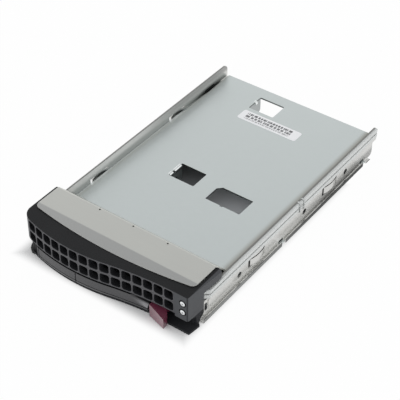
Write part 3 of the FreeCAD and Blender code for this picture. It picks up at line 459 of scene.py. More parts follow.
def rounded_ring(half_wide, half_high, corner, points=6):
    """One trip round a rectangle: four quarter circles about the corners' centres, and straight runs."""
    quarter = np.repeat(np.arange(4), points)
    angle = (quarter + np.tile(np.linspace(0, 1, points), 4)) * math.pi / 2
    right = np.where((quarter == 0) | (quarter == 3), 1, -1)
    up = np.where(quarter < 2, 1, -1)
    x = right * (half_wide - corner) + corner * np.cos(angle)
    z = up * (half_high - corner) + corner * np.sin(angle)
    return x, z


def grille_cells():
    """Rings from the rib's middle over a quarter-round lip and down the wall, for every hole at once."""
    roll = np.linspace(0, math.pi / 2, LIP_POINTS)
    grow = np.concatenate([LIP * (1 - np.sin(roll)), [0.0, -DRAFT]])[:, None]
    proud = np.concatenate([RIB_PROUD - LIP * (1 - np.cos(roll)), [RIB_PROUD - LIP] * 2])[:, None]
    deep = np.concatenate([np.zeros(LIP_POINTS), [WALL / 2, WALL]])[:, None]
    x, z = rounded_ring(HOLE_HALF_WIDE + grow, HOLE_HALF_HIGH + grow, HOLE_CORNER + grow)
    rim_x, rim_z = rounded_ring(COLUMN_PITCH / 2, ROW_PITCH / 2, RIM_CORNER)
    x, z = np.vstack([rim_x, x]), np.vstack([rim_z, z])
    proud, deep = np.vstack([[[RIB_PROUD]], proud]), np.vstack([[[0.0]], deep])
    column, row = np.meshgrid(FIRST_COLUMN + COLUMN_PITCH * np.arange(COLUMNS), ROW_CENTRES)
    x = column.reshape(-1, 1, 1) + x
    z = row.reshape(-1, 1, 1) + z
    left, low = FIRST_COLUMN - COLUMN_PITCH / 2, ROW_CENTRES[0] - ROW_PITCH / 2
    right, high = FIRST_COLUMN + COLUMN_PITCH * (COLUMNS - 0.5), ROW_CENTRES[1] + ROW_PITCH / 2
    at_rim = np.minimum(np.minimum(x - left, right - x), np.minimum(z - low, high - z)) < RIM_TUCK
    proud = np.where(at_rim, -RIM_TUCK, proud)
    sunk = np.broadcast_to(deep + RIB_PROUD - np.maximum(proud, RIB_PROUD - LIP), x.shape)
    return off_bow(x, proud, z, deep), np.where(at_rim, 0.0, sunk)


def rib_plastic():
    """The bezel's plastic on the ribs: crowns paler as painted light with a random tone, and painted shade
    to black down the holes.
    """
    finish = new_finish("grille_ribs")
    depth = finish.add("ShaderNodeAttribute", {"attribute_name": "depth"}, output="Fac")
    grain = finish.noise(GRAIN, detail=3.0)
    wear_and_light = finish.noise(5 * MM)
    crown = finish.blend(wear_and_light * 0.6 + grain * 0.4, (0.045, 0.045, 0.050), (0.070, 0.070, 0.076))
    return finish.surface(
        painted_shade=depth.rise(0.08, 0.35),
        Base_Color=crown,
        Roughness=0.42 + (grain - 0.5) * 0.15,
        Normal=finish.bump(grain, 0.006 * MM),
    )


cells, depths = grille_cells()
count, rings, around = depths.shape
one_cell = np.array(grid_faces(rings, around))
cell_faces = (np.arange(count)[:, None, None] * rings * around + one_cell).reshape(-1, 4).tolist()
ribs = make_piece("grille_ribs", [(cells, cell_faces)], "tray", rib_plastic(), depths)
thicken(ribs, BACKING, offset=-1.0)

# %% [markdown]
# ## The lever
#
# The handle is a bar that follows the bow under the grille. At its free end a scoop is dished out of the
# top for a thumb, and at the other end it runs into a knuckle on the pin. Its cross-section is a short
# list of corners, carried along the bow; where the scoop is, the front top corner moves back and down
# along a shallow hollow. A Bevel modifier rounds the edges as the mould would.

# %% Lever
LEVER_LOW, LEVER_TOP, LEVER_DEPTH = 2.0, 9.0, 5.0
LEVER_LEFT, LEVER_RIGHT = -40.9, 27.9
SCOOP_START, SCOOP_DROP, SCOOP_REACH, SCOOP_SAG = 17.5, 4.0, 3.4, 0.25
LIP_TOP, LINE_HIGH, LINE_DEEP, LINE_DRAFT = 3.7, 0.45, 0.4, 0.1
LIP_TUCK, LIP_RISE, FOOT_TUCK, HAIR = 0.25, 0.5, 0.8, 0.02
SCOOP_LIGHT_AND_SHADE, LEAST_SCOOP_LIGHT = np.array([1.0, 1.0, 0.4, -1.0, -1.0, -1.0, -1.0]), 0.35
NECK_LEFT, NECK_LAP, NECK_TOP, NECK_RECESS = -45.4, 0.4, 8.4, 1.3
MOULD_RADIUS = 0.15
GROOVES = ((-40.0, -39.4, 0.35), (-13.35, -12.75, 0.5))


def blade(left, right, recess=0.0, low=LEVER_LOW, top=LEVER_TOP, stations=80):
    """The section (lip, line, face, scoop, top, back, bottom) carried along the bow from left to right."""
    cuts = [x + side for start, end, _ in GROOVES for x in (start, end) for side in (-HAIR, HAIR)]
    x = np.unique(np.concatenate([np.linspace(left, right, stations), cuts]))
    x = x[(x >= left) & (x <= right)][:, None]
    front = recess + sum(depth * ((x > start) & (x < end)) for start, end, depth in GROOVES)
    share = np.clip((x - SCOOP_START) / (LEVER_RIGHT - SCOOP_START), 0, 1)
    climb = np.linspace(0, 1, len(SCOOP_LIGHT_AND_SHADE))
    sag = SCOOP_SAG * share * np.sin(math.pi * climb)
    dish_back = front + HAIR + SCOOP_REACH * share * climb + sag
    dish_z = top - (HAIR + SCOOP_DROP * share) * (1 - climb) - sag
    one = np.ones_like(x)
    groove = np.array([0.0, LINE_DEEP, LINE_DEEP, 0.0])
    line_z = np.array([0.0, LINE_DRAFT, LINE_HIGH - LINE_DRAFT, LINE_HIGH]) + LIP_TOP
    rear = one * LEVER_DEPTH
    back = np.hstack([front + LIP_TUCK, front + groove, dish_back, rear, rear, front + FOOT_TUCK])
    z = np.hstack([one * (low + LIP_RISE), one * line_z, dish_z, one * top, one * low, one * low])
    # Painted light and shade for the scoop, kept on the mesh: a highlight low in it and shade high in it,
    # under the grille.
    wear_and_light = share * (LEAST_SCOOP_LIGHT + (1 - LEAST_SCOOP_LIGHT) * share) * SCOOP_LIGHT_AND_SHADE
    painted_light = np.pad(wear_and_light, ((0, 0), (1 + len(groove), 3)))
    return (off_bow(x, -back, z), grid_faces(len(x), back.shape[1], capped=True)), painted_light


def lathe(profile, centre, turns=48, axis="Z"):
    """A profile of (radius, height) turned round an upright axis, or round one that points to the front."""
    radius, height = np.array(profile).T[:, :, None]
    angle = np.linspace(0, 2 * math.pi, turns, endpoint=False)
    round_x, round_y = radius * np.cos(angle), radius * np.sin(angle)
    level = np.broadcast_to(height, round_x.shape)
    parts = (round_x, round_y, level) if axis == "Z" else (round_x, -level, round_y)
    return np.stack(parts, axis=-1) + np.array(centre), grid_faces(len(profile), turns, capped=True)


def lever_plastic():
    """The lever's plastic: satin grey, with painted shade in the line, on the top and high in the scoop,
    and a painted highlight low in the scoop.
    """
    finish = new_finish("lever_face")
    _, _, z = finish.axes()
    grain, tone = moulded_skin(finish)
    face = finish.blend(tone, (0.036, 0.036, 0.039), (0.052, 0.052, 0.056))
    wear_and_light = finish.add("ShaderNodeAttribute", {"attribute_name": "depth"}, output="Fac")
    painted_light = wear_and_light.rise(0.0, 0.8)
    # Painted shade in the line's groove and on the top under the grille.
    line = z.within(LIP_TOP + 0.05, LIP_TOP + LINE_HIGH - 0.05, 0.1)
    shaded = line.most(z.rise(LEVER_TOP - 0.12, LEVER_TOP - 0.02))
    skin = finish.blend(shaded, face, (0.005, 0.005, 0.006))
    return finish.surface(
        painted_shade=(0 - wear_and_light).rise(0.0, 0.3) * 0.9,
        Base_Color=finish.blend(painted_light, skin, (0.30, 0.30, 0.31)),
        Roughness=0.38 + (grain - 0.5) * GRAIN_GLOSS - painted_light * 0.12,
        Normal=finish.bump(grain, 0.008 * MM),
    )


# The knuckle and its neck: the lever's plastic painted darker, as painted shade.
lever_root = moulded_plastic("lever_root", (0.008, 0.008, 0.009), (0.013, 0.013, 0.014), 0.5, gloss=0.1)
pin_low, pin_high = (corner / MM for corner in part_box("lever_pin"))
PIN = ((pin_low.x + pin_high.x) / 2, (pin_low.y + pin_high.y) / 2)
KNUCKLE = ((0.02, 9.6), (2.6, 9.6), (3.1, 9.4), (3.3, 8.9), (3.3, 2.2), (3.1, 1.7), (2.6, 1.6), (0.02, 1.6))
bar, painted_light = blade(LEVER_LEFT, LEVER_RIGHT)
lever = make_piece("lever_blade", [bar], "lever", lever_plastic(), painted_light)
round_edges(lever, MOULD_RADIUS)
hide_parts("handle_lever")
neck, _ = blade(NECK_LEFT, LEVER_LEFT + NECK_LAP, recess=NECK_RECESS, top=NECK_TOP, stations=12)
make_piece("lever_knuckle", [lathe(KNUCKLE, (*PIN, 0.0)), neck], "lever", lever_root)

# %% [markdown]
# ## The shelf's left corner
#
# Left of the lever the base shelf comes forward in a round corner, and its top, near-black with painted
# shade, shows in the gap under the grille. It is one outline, an arc that draws in towards the lever,
# raised to the shelf's height.

# %% Shelf corner
SHELF_TOP = 1.34
CORNER_REACH, CORNER_TUCK, CORNER_INNER = 7.75, 6.7, 5.2
CORNER_FROM, TUCK_FROM, CORNER_TO = 178, 238, 262


def prism(outline, low, high):
    """An outline of (across, behind the front) drawn up from one height to another."""
    flat = np.array(outline) + (0.0, FRONT)
    ends = [np.insert(flat, 2, level, axis=1) for level in (low, high)]
    return np.stack(ends), grid_faces(2, len(outline), capped=True)


def corner_outline():
    """An arc about the corner's centre whose reach falls off towards the lever, closed by a shorter arc."""
    degrees = np.linspace(CORNER_FROM, CORNER_TO, 29)[:, None]
    tuck = np.clip((degrees - TUCK_FROM) / (CORNER_TO - TUCK_FROM), 0, 1) ** 2
    reach = CORNER_REACH - (CORNER_REACH - CORNER_TUCK) * tuck
    spoke = np.hstack([np.cos(np.radians(degrees)), np.sin(np.radians(degrees))])
    middle = np.array([CORNER_X, CORNER_BACK])
    return np.concatenate([middle + reach * spoke, middle + CORNER_INNER * spoke[::-1]])


# Near-black, like the bezel under its panel: painted shade.
shelf_plastic = moulded_plastic(
    "shelf_plastic", (0.010, 0.010, 0.011), (0.016, 0.016, 0.017), 0.5, gloss=0.35)
shelf = prism(corner_outline(), 0.0, SHELF_TOP)
corner = make_piece("shelf_corner", [shelf], "tray", shelf_plastic)
round_edges(corner, MOULD_RADIUS)

# %% [markdown]
# ## The release button
#
# A maroon wedge sits beyond the lever's tip and slides towards the lamps. It is a plain prism with a
# raked front, so its outline is a list of corners drawn up in height, and the edges are rounded.

# %% Button
BUTTON_HEAD = ((29.1, 8.5), (29.1, 5.4), (40.0, 2.2), (40.0, 5.4), (37.8, 8.5))
BUTTON_FOOT = ((29.1, 5.7), (29.1, 5.4), (40.0, 2.2), (40.0, 5.4), (39.8, 5.7))
BUTTON_TOP = (7.9, 7.9, 6.5, 7.1, 7.6)
BUTTON_LOW, BUTTON_STEP, BUTTON_RADIUS, BUTTON_EDGE = 0.25, 1.6, 0.45, 0.35 * MM
BUTTON_STEM = ((29.3, 8.3), (36.3, 8.3), (36.3, 16.6), (29.3, 16.6))
STEM_LOW, STEM_TOP = 2.6, 7.4


def button_head():
    """Four levels of corners: a foot ahead of the shelf, the step over it, a top that falls to the tip."""
    corners = len(BUTTON_HEAD)
    flat = np.array([BUTTON_FOOT, BUTTON_FOOT, BUTTON_HEAD, BUTTON_HEAD]) + (0.0, FRONT)
    level = [np.full(corners, height) for height in (BUTTON_LOW, BUTTON_STEP, BUTTON_STEP)]
    return np.dstack([flat, [*level, BUTTON_TOP]]), grid_faces(4, corners, capped=True)


maroon = moulded_plastic(
    "maroon_button", (0.125, 0.020, 0.044), (0.165, 0.034, 0.064), 0.3,
    gloss=1.0, coat=1.0, edge=BUTTON_EDGE)
stem = prism(BUTTON_STEM, STEM_LOW, STEM_TOP)
button = make_piece("button_cap", [button_head(), stem], "button", maroon)
round_edges(button, BUTTON_RADIUS, segments=3)
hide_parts("release_button")

# %% [markdown]
# ## The two lamps
#
# The light pipes end in two small lenses on the flat at the right of the grille. Each is a milky dome
# in a near-black ring, painted shade for the recess round it, and both are profiles turned round an axis
# that points to the front.

# %% Lenses
LENS_X, LENS_HEIGHTS, LENS_TURNS = 48.6, (13.4, 19.0), 32
CORE_X = LENS_X + 0.2
LENS_FACE = FRONT + HOLLOW_DEPTH
DOME = ((1.4, -0.3), (1.4, 0.1), (1.3, 0.24), (1.0, 0.36), (0.5, 0.42), (0.02, 0.44))
RING = ((1.36, -0.3), (1.36, 0.12), (1.45, 0.2), (1.8, 0.2), (2.05, 0.05), (2.05, -0.3))


def lens_plastic():
    """Milky plastic, grey in the middle where the pipe's end shows through; distances are squared."""
    finish = new_finish("milky_lens")
    x, _, z = finish.axes()
    across = (x - CORE_X) * (x - CORE_X)
    lower, upper = (across + (z - height) * (z - height) for height in LENS_HEIGHTS)
    cloud = finish.noise(0.8 * MM)
    core = 1 - lower.math("MINIMUM", lower, upper).rise(0.02, 0.6)
    return finish.surface(
        Base_Color=finish.blend(core * (0.5 + cloud * 0.5), (0.84, 0.86, 0.87), (0.10, 0.105, 0.11)),
        Roughness=0.18 + cloud * 0.1,
        Coat_Weight=0.4,
    )


def on_lamps(profile):
    """One turned profile at the height of each lamp."""
    return [lathe(profile, (LENS_X, LENS_FACE, z), LENS_TURNS, axis="-Y") for z in LENS_HEIGHTS]


make_piece("lamp_lenses", on_lamps(DOME), "tray", lens_plastic())
# The ring's near-black is painted shade for the recess round each lens.
shaded_ring = moulded_plastic("shaded_ring", (0.003, 0.003, 0.003), (0.005, 0.005, 0.006), 0.6, gloss=0.05)
make_piece("lamp_rings", on_lamps(RING), "tray", shaded_ring)

# %% [markdown]
# ## Sheet metal
#
# Three sheets, three looks. The cover is satin stainless with its grain across the tray, the rails
# are bright strip rolled along their length, and the plate is galvanised with a faint cloudy spangle.
# All three start from one pair of noises: streaks drawn out along the rolling direction, and soft
# clouds. The cover's front band and parts of the rails and the plate are painted darker or paler, as
# painted shade and painted light; the plate's sheared edges are darker too.

# %% Rolled sheets
STREAK, RAIL_STREAK, ROLLED_OUT, CLOUD = 0.5 * MM, 1.6 * MM, 0.02, 30 * MM
STREAK_DEPTH, SHEET_EDGE, SHEET_GLOSS, RAIL_GLOSS = 0.002 * MM, 0.15 * MM, 0.12, 0.06


def rolled_grain(finish, streak, along):
    """Streaks stretched along one axis, and soft clouds, both around 0.5."""
    stretch = tuple(ROLLED_OUT if axis == along else 1.0 for axis in "XYZ")
    return finish.noise(streak, detail=3.0, stretch=stretch), finish.noise(CLOUD)


def rolled_sheet(name, dark, light, roughness, along, edge=SHEET_EDGE, band=None):
    """Bare sheet metal: streaks over clouds, with rounded edges and perhaps a band of painted shade."""
    finish = new_finish(name)
    streaks, clouds = rolled_grain(finish, STREAK, along)
    tone = finish.blend(streaks * 0.5 + clouds * 0.5, dark, light)
    if band:
        axis, start, end, band_shade = band
        place = finish.axes()["XYZ".index(axis)]
        tone = finish.blend(place.rise(start, end), tone, band_shade)
    sockets = {"Normal": finish.bump(streaks, STREAK_DEPTH, finish.rounded(edge))} if edge else {}
    return finish.surface(
        Base_Color=tone,
        Metallic=1.0,
        Roughness=roughness + (streaks - 0.5) * SHEET_GLOSS + (clouds - 0.5) * SHEET_GLOSS,
        **sockets,
    )


RAIL_TOP, LIP_FACE, LIP_RIM = 17.6, 53.9, 2.9
INNER_FACE, HEEL_FACE, CHANNEL_FACE = (50.0, 51.3), (51.62, 51.75), (51.7, 51.9)
CHANNEL_LEVELS, HEEL_LEVELS, BROW_LEVELS = (2.3, 3.2), (3.5, 7.0), (12.5, 15.5)
HEEL_FADE, LIP_FADE = (0, 45), (-50, 35)
SLOT_SHADE_LEVELS, SLOT_SHADE_SPAN, SLOT_SHADE_SOFT = (10.6, 13.8), (66, 84), 9


def rail_strip():
    """Bright strip with painted shade on the top edge, on the lip towards the rear and round the left
    rail's rear slot, a painted highlight on the lip's rim, and painted light in the channel and on the
    wall's foot and brow.
    """
    finish = new_finish("bright_rails")
    x, y, z = finish.axes()
    aside = abs(x)
    streaks, clouds = rolled_grain(finish, RAIL_STREAK, "Y")
    strip = finish.blend(streaks * 0.5 + clouds * 0.5, (0.58, 0.58, 0.565), (0.67, 0.67, 0.65))
    # Masks for painted shade and light: the top edge, the lip's rim and face, the channel, the wall's foot
    # and brow, and the left rail's rear slot.
    top_edge_shade = z.rise(RAIL_TOP - 0.3, RAIL_TOP - 0.1)
    lip_top = aside.rise(LIP_FACE - 0.95, LIP_FACE - 0.85) * z.within(LIP_RIM - 0.35, LIP_RIM + 0.3, 0.1)
    rim_highlight = lip_top * (1 - aside.rise(LIP_FACE - 0.4, LIP_FACE - 0.2))
    lip = aside.rise(LIP_FACE - 0.45, LIP_FACE - 0.3) * (1 - rim_highlight)
    left_wall = (0 - x).within(*INNER_FACE, 0.2)
    slot_shade = left_wall * (1 - z.rise(*SLOT_SHADE_LEVELS)) * y.within(*SLOT_SHADE_SPAN, SLOT_SHADE_SOFT)
    channel = aside.rise(*CHANNEL_FACE) * (1 - z.rise(*CHANNEL_LEVELS)) * (1 - rim_highlight)
    brow = aside.within(*INNER_FACE, 0.2) * z.rise(*BROW_LEVELS) * (1 - top_edge_shade)
    heel = brow.most((1 - aside.rise(*HEEL_FACE)) * (1 - z.rise(*HEEL_LEVELS)))
    # Painted light on the foot and brow, fading to shade towards the rear; painted shade on the lip,
    # darkest at the rear.
    heel_light_and_shade = finish.blend(y.rise(*HEEL_FADE), (0.74, 0.74, 0.72), (0.40, 0.40, 0.39))
    lip_shade = finish.blend(y.rise(*LIP_FADE), (0.25, 0.255, 0.25), (0.015, 0.016, 0.015))
    edged = finish.blend(top_edge_shade.most(slot_shade), strip, (0.24, 0.24, 0.23))
    painted_light = finish.blend(channel, finish.blend(heel, edged, heel_light_and_shade), (0.9, 0.9, 0.88))
    rolled = (streaks - 0.5) * RAIL_GLOSS + (clouds - 0.5) * RAIL_GLOSS
    return finish.surface(
        Base_Color=finish.blend(rim_highlight, finish.blend(lip, painted_light, lip_shade), (0.88, 0.88, 0.86)),
        Metallic=1 - channel * 0.85 - heel * 0.75,
        Roughness=0.3 + rolled + channel * 0.2 + heel * 0.15,
    )


PLATE_TOP, SPANGLE = 10.5, 3.5 * MM
BORDER_RIGHT, BORDER_LEFT, LEFT_SHARE = (43.0, 47.6), (46.5, 50.0), 0.35
REAR_TAB, REAR_TAB_FROM = (-22.3, -20.7), (60, 62)


def plate_zinc():
    """Galvanised plate: faint spangle and streaks, darker sheared edges, and painted shade on the borders
    by the rails and on the rear tab's face.
    """
    finish = new_finish("galvanised_plate")
    x, y, z = finish.axes()
    streaks, clouds = rolled_grain(finish, STREAK, "Y")
    sockets = {"Vector": finish.place(), "Scale": 1 / SPANGLE}
    cells = finish.add("ShaderNodeTexVoronoi", sockets=sockets, output="Color")
    spangle = finish.add("ShaderNodeSeparateColor", sockets={"Color": cells})
    tone = streaks * 0.3 + clouds * 0.45 + spangle * 0.25
    zinc = finish.blend(tone, (0.60, 0.645, 0.64), (0.66, 0.705, 0.70))
    facing = finish.add("ShaderNodeNewGeometry", output="True Normal")
    level = abs(finish.add("ShaderNodeSeparateXYZ", sockets={"Vector": facing}, output="Z"))
    sheared = (1 - level.rise(0.3, 0.7)) * z.rise(PLATE_TOP - 1.0, PLATE_TOP - 0.8)
    top_face = z.rise(PLATE_TOP - 0.2, PLATE_TOP - 0.05)
    border = x.rise(*BORDER_RIGHT).most((0 - x).rise(*BORDER_LEFT) * LEFT_SHARE) * top_face
    under = 1 - z.rise(PLATE_TOP - 0.9, PLATE_TOP - 0.4)
    # Painted shade on the rear tab's face.
    rear_tab = x.within(*REAR_TAB, 0.1) * y.rise(*REAR_TAB_FROM) * under
    shaded = finish.blend(rear_tab, finish.blend(border, zinc, (0.34, 0.335, 0.30)), (0.40, 0.42, 0.42))
    rolled = (streaks - 0.5) * SHEET_GLOSS + (clouds - 0.5) * SHEET_GLOSS
    return finish.surface(
        Base_Color=finish.blend(sheared, shaded, (0.16, 0.17, 0.17)),
        Metallic=1.0,
        Roughness=0.38 + rolled + (spangle - 0.5) * 0.05,
        Normal=finish.bump(streaks, STREAK_DEPTH, finish.rounded(SHEET_EDGE)),
    )


# The cover's front band is painted darker: painted shade for a slight bend down at the front.
front_band_shade = ("Y", FRONT + 17.0, FRONT + 16.0, (0.46, 0.465, 0.455))
satin = rolled_sheet("satin_cover", (0.54, 0.545, 0.52), (0.62, 0.625, 0.59), 0.33, "X", band=front_band_shade)
paint(satin, "front_cover")
paint(rail_strip(), "left_rail", "right_rail")
zinc = plate_zinc()
paint(zinc, "adapter_plate")
drawn_wire = rolled_sheet("drawn_wire", (0.24, 0.24, 0.25), (0.34, 0.34, 0.35), 0.35, "Z")
paint(drawn_wire, "lever_pin", "lever_spring")

# %% [markdown]
# ## Dark openings
#
# The rails' rear slots, and on the right rail the slits round the spring leaves, two holes and a notch,
# look dark, because nothing lights what lies behind them. Thin dark plates set into the openings are
# painted shade that shows from every side: each is a flat outline drawn a little way across the wall.
# A dark strip under each leaf's top edge is painted shadow.

# %% Dark openings
WALL_INNER, WALL_OUTER = 50.9, 51.1
LEAF_ROOTS, LEAF_LENGTH, LEAF_GAP = (49.4, -20.4), 14.5, 1.6
LEAF_LOW, LEAF_HIGH, SLIT, INSET = 4.6, 12.3, 0.9, 0.05
LEAF_FACE, LEAF_RADIUS = 51.6, 21.0
LEAF_LINE_LEVELS, LEAF_LINE_FACES = (9.75, 10.15), (0.12, -0.1)
SLOT_MIDDLE, SLOT_HALF_LONG, SLOT_HALF_HIGH, SLOT_CORNER = (73.9, 10.7), 4.65, 0.66, 0.4
HOLE_MIDDLES, HOLE_RADIUS, NEARLY = ((58.9, 6.35), (17.3, 6.35)), 1.7, 0.99
NOTCH_SPAN, NOTCH_LEVELS, NOTCH_DEPTH = (-7.05, -3.15), (1.95, 2.88), (51.2, 51.5)


def side_prism(outline, start, end):
    """An outline of (along, up) drawn across the tray from one x to another."""
    ends = [np.insert(np.array(outline), 0, x, axis=1) for x in (start, end)]
    return np.stack(ends), grid_faces(2, len(outline), capped=True)


def leaf_slits(root):
    """The three slits round a leaf as one outline, open towards the leaf's root."""
    near, tip = root - INSET, root - LEAF_LENGTH + INSET
    low, high = LEAF_LOW + INSET, LEAF_HIGH - INSET
    leaf_tip = tip + LEAF_GAP - 2 * INSET
    leaf_low, leaf_high = low + SLIT - 2 * INSET, high - SLIT + 2 * INSET
    outside = [(near, low), (tip, low), (tip, high), (near, high)]
    return outside + [(near, leaf_high), (leaf_tip, leaf_high), (leaf_tip, leaf_low), (near, leaf_low)]


def leaf_line(root, points=24):
    """A narrow dark strip of painted shadow under the leaf's top edge: it follows the circle that the leaf
    is bowed to.
    """
    tip = root - LEAF_LENGTH + LEAF_GAP
    along = np.linspace(tip, root, points)[:, None]
    reach = along - (root + tip) / 2
    proud = np.sqrt(LEAF_RADIUS ** 2 - reach ** 2) - math.sqrt(LEAF_RADIUS ** 2 - (root - tip) ** 2 / 4)
    level = np.array(LEAF_LINE_LEVELS + LEAF_LINE_LEVELS[::-1])
    x = LEAF_FACE + proud + np.repeat(LEAF_LINE_FACES, 2)
    return np.stack(np.broadcast_arrays(x, along, level), axis=-1), grid_faces(points, 4, capped=True)


slot_y, slot_z = rounded_ring(SLOT_HALF_LONG, SLOT_HALF_HIGH, SLOT_CORNER)
slot_line = np.column_stack([slot_y, slot_z]) + SLOT_MIDDLE
shades = [side_prism(leaf_slits(root), WALL_INNER, WALL_OUTER) for root in LEAF_ROOTS]
shades += [leaf_line(root) for root in LEAF_ROOTS]
shades += [side_prism(slot_line, side * WALL_INNER, side * WALL_OUTER) for side in (-1, 1)]
hole_line = np.column_stack(rounded_ring(HOLE_RADIUS, HOLE_RADIUS, NEARLY * HOLE_RADIUS))
shades += [side_prism(hole_line + middle, WALL_INNER, WALL_OUTER) for middle in HOLE_MIDDLES]
notch_line = np.column_stack([NOTCH_SPAN + NOTCH_SPAN[::-1], np.repeat(NOTCH_LEVELS, 2)])
shades.append(side_prism(notch_line, *NOTCH_DEPTH))
# Near-black plates: painted shade in the openings.
unlit = moulded_plastic(
    "unlit_steel", (0.010, 0.011, 0.011), (0.020, 0.021, 0.021), 0.6, gloss=0.1, edge=0.02 * MM)
make_piece("rail_shades", shades, "tray", unlit)

# %% [markdown]
# ## The plate's side seams
#
# The portrait shows only a shallow grey crease between the plate and the rails. The solids keep half a
# millimetre of clearance there, which would show as a black gap. A narrow strip fills most of it: one
# profile carried along each side, which sinks towards the rear, where the gap is open.

# %% Side seams
SEAM_START, SEAM_END, SINK_START, SEAM_SINK = FRONT + 24.0, 68.0, 38.0, 1.4
SEAM_PROFILE = np.array([
    (48.4, 10.52, 0.0), (49.2, 10.46, 0.3), (49.9, 10.25, 0.8),
    (50.75, 10.0, 1.0), (50.75, 8.5, 1.0), (49.5, 8.5, 1.0)])


def seam(side, stations=30):
    """The profile of (across, up, share of the sinking), lowered along the tray by a smooth step."""
    along = np.linspace(SEAM_START, SEAM_END, stations)[:, None]
    reach = np.clip((along - SINK_START) / (SEAM_END - SINK_START), 0, 1)
    across, up, share = SEAM_PROFILE.T
    level = up - share * SEAM_SINK * reach ** 2 * (3 - 2 * reach)
    points = np.stack(np.broadcast_arrays(side * across, along, level), axis=-1)
    return points, grid_faces(stations, len(SEAM_PROFILE), capped=True)


make_piece("plate_seams", [seam(-1), seam(1)], "tray", zinc)
print("seams from", round(SEAM_START, 1), "to", SEAM_END, "mm along the tray")

# %% [markdown]
# ## Folds and the cover's cut edge
#
# A sheared sheet has a bright, slightly rolled edge, and the cover's shows as a thin light line against
# the dark bezel. A small half-round bead along the edge gives it: a circle carried along a path that runs
# down the left side, round the front arc and back up the right side. Where the plate's two tabs are folded
# down, the bend is round and catches the light, so a larger circle is carried along each fold, painted
# much paler than the plate as a painted highlight.

# %% Folds and cut edge
FOLD_X, FOLD_RUNS, FOLD_RADIUS = -21.8, ((-4.1, -1.2), (0.2, 6.4), (78.2, 79.9)), 1.3
FOLD_PROUD, FOLD_STATIONS = 0.06, 9
COVER_HALF, COVER_FRONT, COVER_ARC, COVER_CORNER = 50.0, 9.7, 288.0, 3.0
COVER_TOP, COVER_DIP, CREASE, DECK_END = 24.9, 0.5, 16.5, 31.4
BEAD = 0.14


def cover_edge():
    """The cover's outline seen from above: side, round corner, long front arc, round corner, side."""
    end = COVER_HALF - COVER_CORNER
    across = np.linspace(0, end, 40)
    arc = COVER_FRONT + COVER_ARC - np.sqrt(COVER_ARC ** 2 - across ** 2)
    turn = np.radians(np.linspace(-80, 0, 8))
    corner = np.stack([np.cos(turn), 1 + np.sin(turn)], axis=1) * COVER_CORNER + (end, arc[-1])
    side = np.linspace(corner[-1], (COVER_HALF, DECK_END), 12)[1:]
    right = np.concatenate([np.stack([across, arc], axis=1), corner, side])
    return np.concatenate([right[:0:-1] * (-1, 1), right])


def carry_circle(path, radius, points=10, aside=None):
    """A circle carried along a path: at each station it stands square to the path's direction."""
    along = np.gradient(path, axis=0)
    along /= np.linalg.norm(along, axis=1, keepdims=True)
    if aside is None:
        aside = np.cross(along, (0.0, 0.0, 1.0))
    aside = aside / np.linalg.norm(aside, axis=1, keepdims=True)
    upward = np.cross(aside, along)
    angle = np.linspace(0, 2 * math.pi, points, endpoint=False)[:, None]
    ring = np.cos(angle) * aside[:, None] + np.sin(angle) * upward[:, None]
    return path[:, None] + radius * ring, grid_faces(len(path), points, capped=True)


def tab_fold(start, end):
    """A rod along one stretch of a tab's fold, a hair above the plate's top."""
    level = PLATE_TOP - FOLD_RADIUS + FOLD_PROUD
    path = np.linspace((FOLD_X, start, level), (FOLD_X, end, level), FOLD_STATIONS)
    return carry_circle(path, FOLD_RADIUS, points=24)


# The folds are painted much paler than the plate: a painted highlight on the bends.
fold_highlight = rolled_sheet("fold_highlight", (0.84, 0.87, 0.865), (0.92, 0.95, 0.945), 0.2, "Y", edge=0)
make_piece("tab_folds", [tab_fold(*run) for run in FOLD_RUNS], "tray", fold_highlight)
edge_xy = cover_edge()
dip = COVER_DIP * np.clip((CREASE - edge_xy[:, 1]) / (CREASE - COVER_FRONT), 0, 1)
edge_path = np.column_stack([edge_xy + (0.0, FRONT), COVER_TOP - BEAD - dip])
cut_edge = rolled_sheet("cut_edge", (0.42, 0.42, 0.41), (0.50, 0.50, 0.48), 0.45, "X", edge=0)
make_piece("cover_edge", [carry_circle(edge_path, BEAD)], "tray", cut_edge)

# %% [markdown]
# ## The return spring
#
# A coil spring pushes the button back. A rigid coil would stick into the button when it is pressed;
# this one is drawn again as a wire along a helix, with a mesh of its own.

# %% Return spring
COIL_START, COIL_END, COIL_WALL, PRESSED = 36.7, 48.3, 48.7, 3.0
COIL_TURNS, COIL_RADIUS, WIRE_RADIUS = 7, 1.8, 0.25
COIL_AXIS = (FRONT + 14.2, 5.4)


def coil(stations=252):
    """A helix about a line in x, with the wire's circle set on the helix's outward direction."""
    angle = np.linspace(0, 2 * math.pi * COIL_TURNS, stations)
    outward = np.stack([0 * angle, np.cos(angle), np.sin(angle)], axis=1)
    axis = np.linspace((COIL_START, *COIL_AXIS), (COIL_END, *COIL_AXIS), stations)
    return carry_circle(axis + COIL_RADIUS * outward, WIRE_RADIUS, aside=outward)


spring = make_piece("return_coil", [coil()], "tray", drawn_wire)
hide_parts("button_spring")
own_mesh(spring)

# %% [markdown]
# ## The label
#
# White paper with plain rows of grey blocks that say nothing. Each row is a soft step up and a soft step
# down along the plate, and a noise that runs along the row breaks it into blocks of uneven length.

# %% Label
INK_ROWS = ((65.7, 67.5, 0.9, 0.85), (63.3, 65.1, 1.2, 0.8), (61.5, 62.8, 0.7, 0.5))
INK_LEFT, INK_RIGHT, INK_SOFT, INK_CUT = -18.2, 12.0, 0.1, (0.42, 0.48)


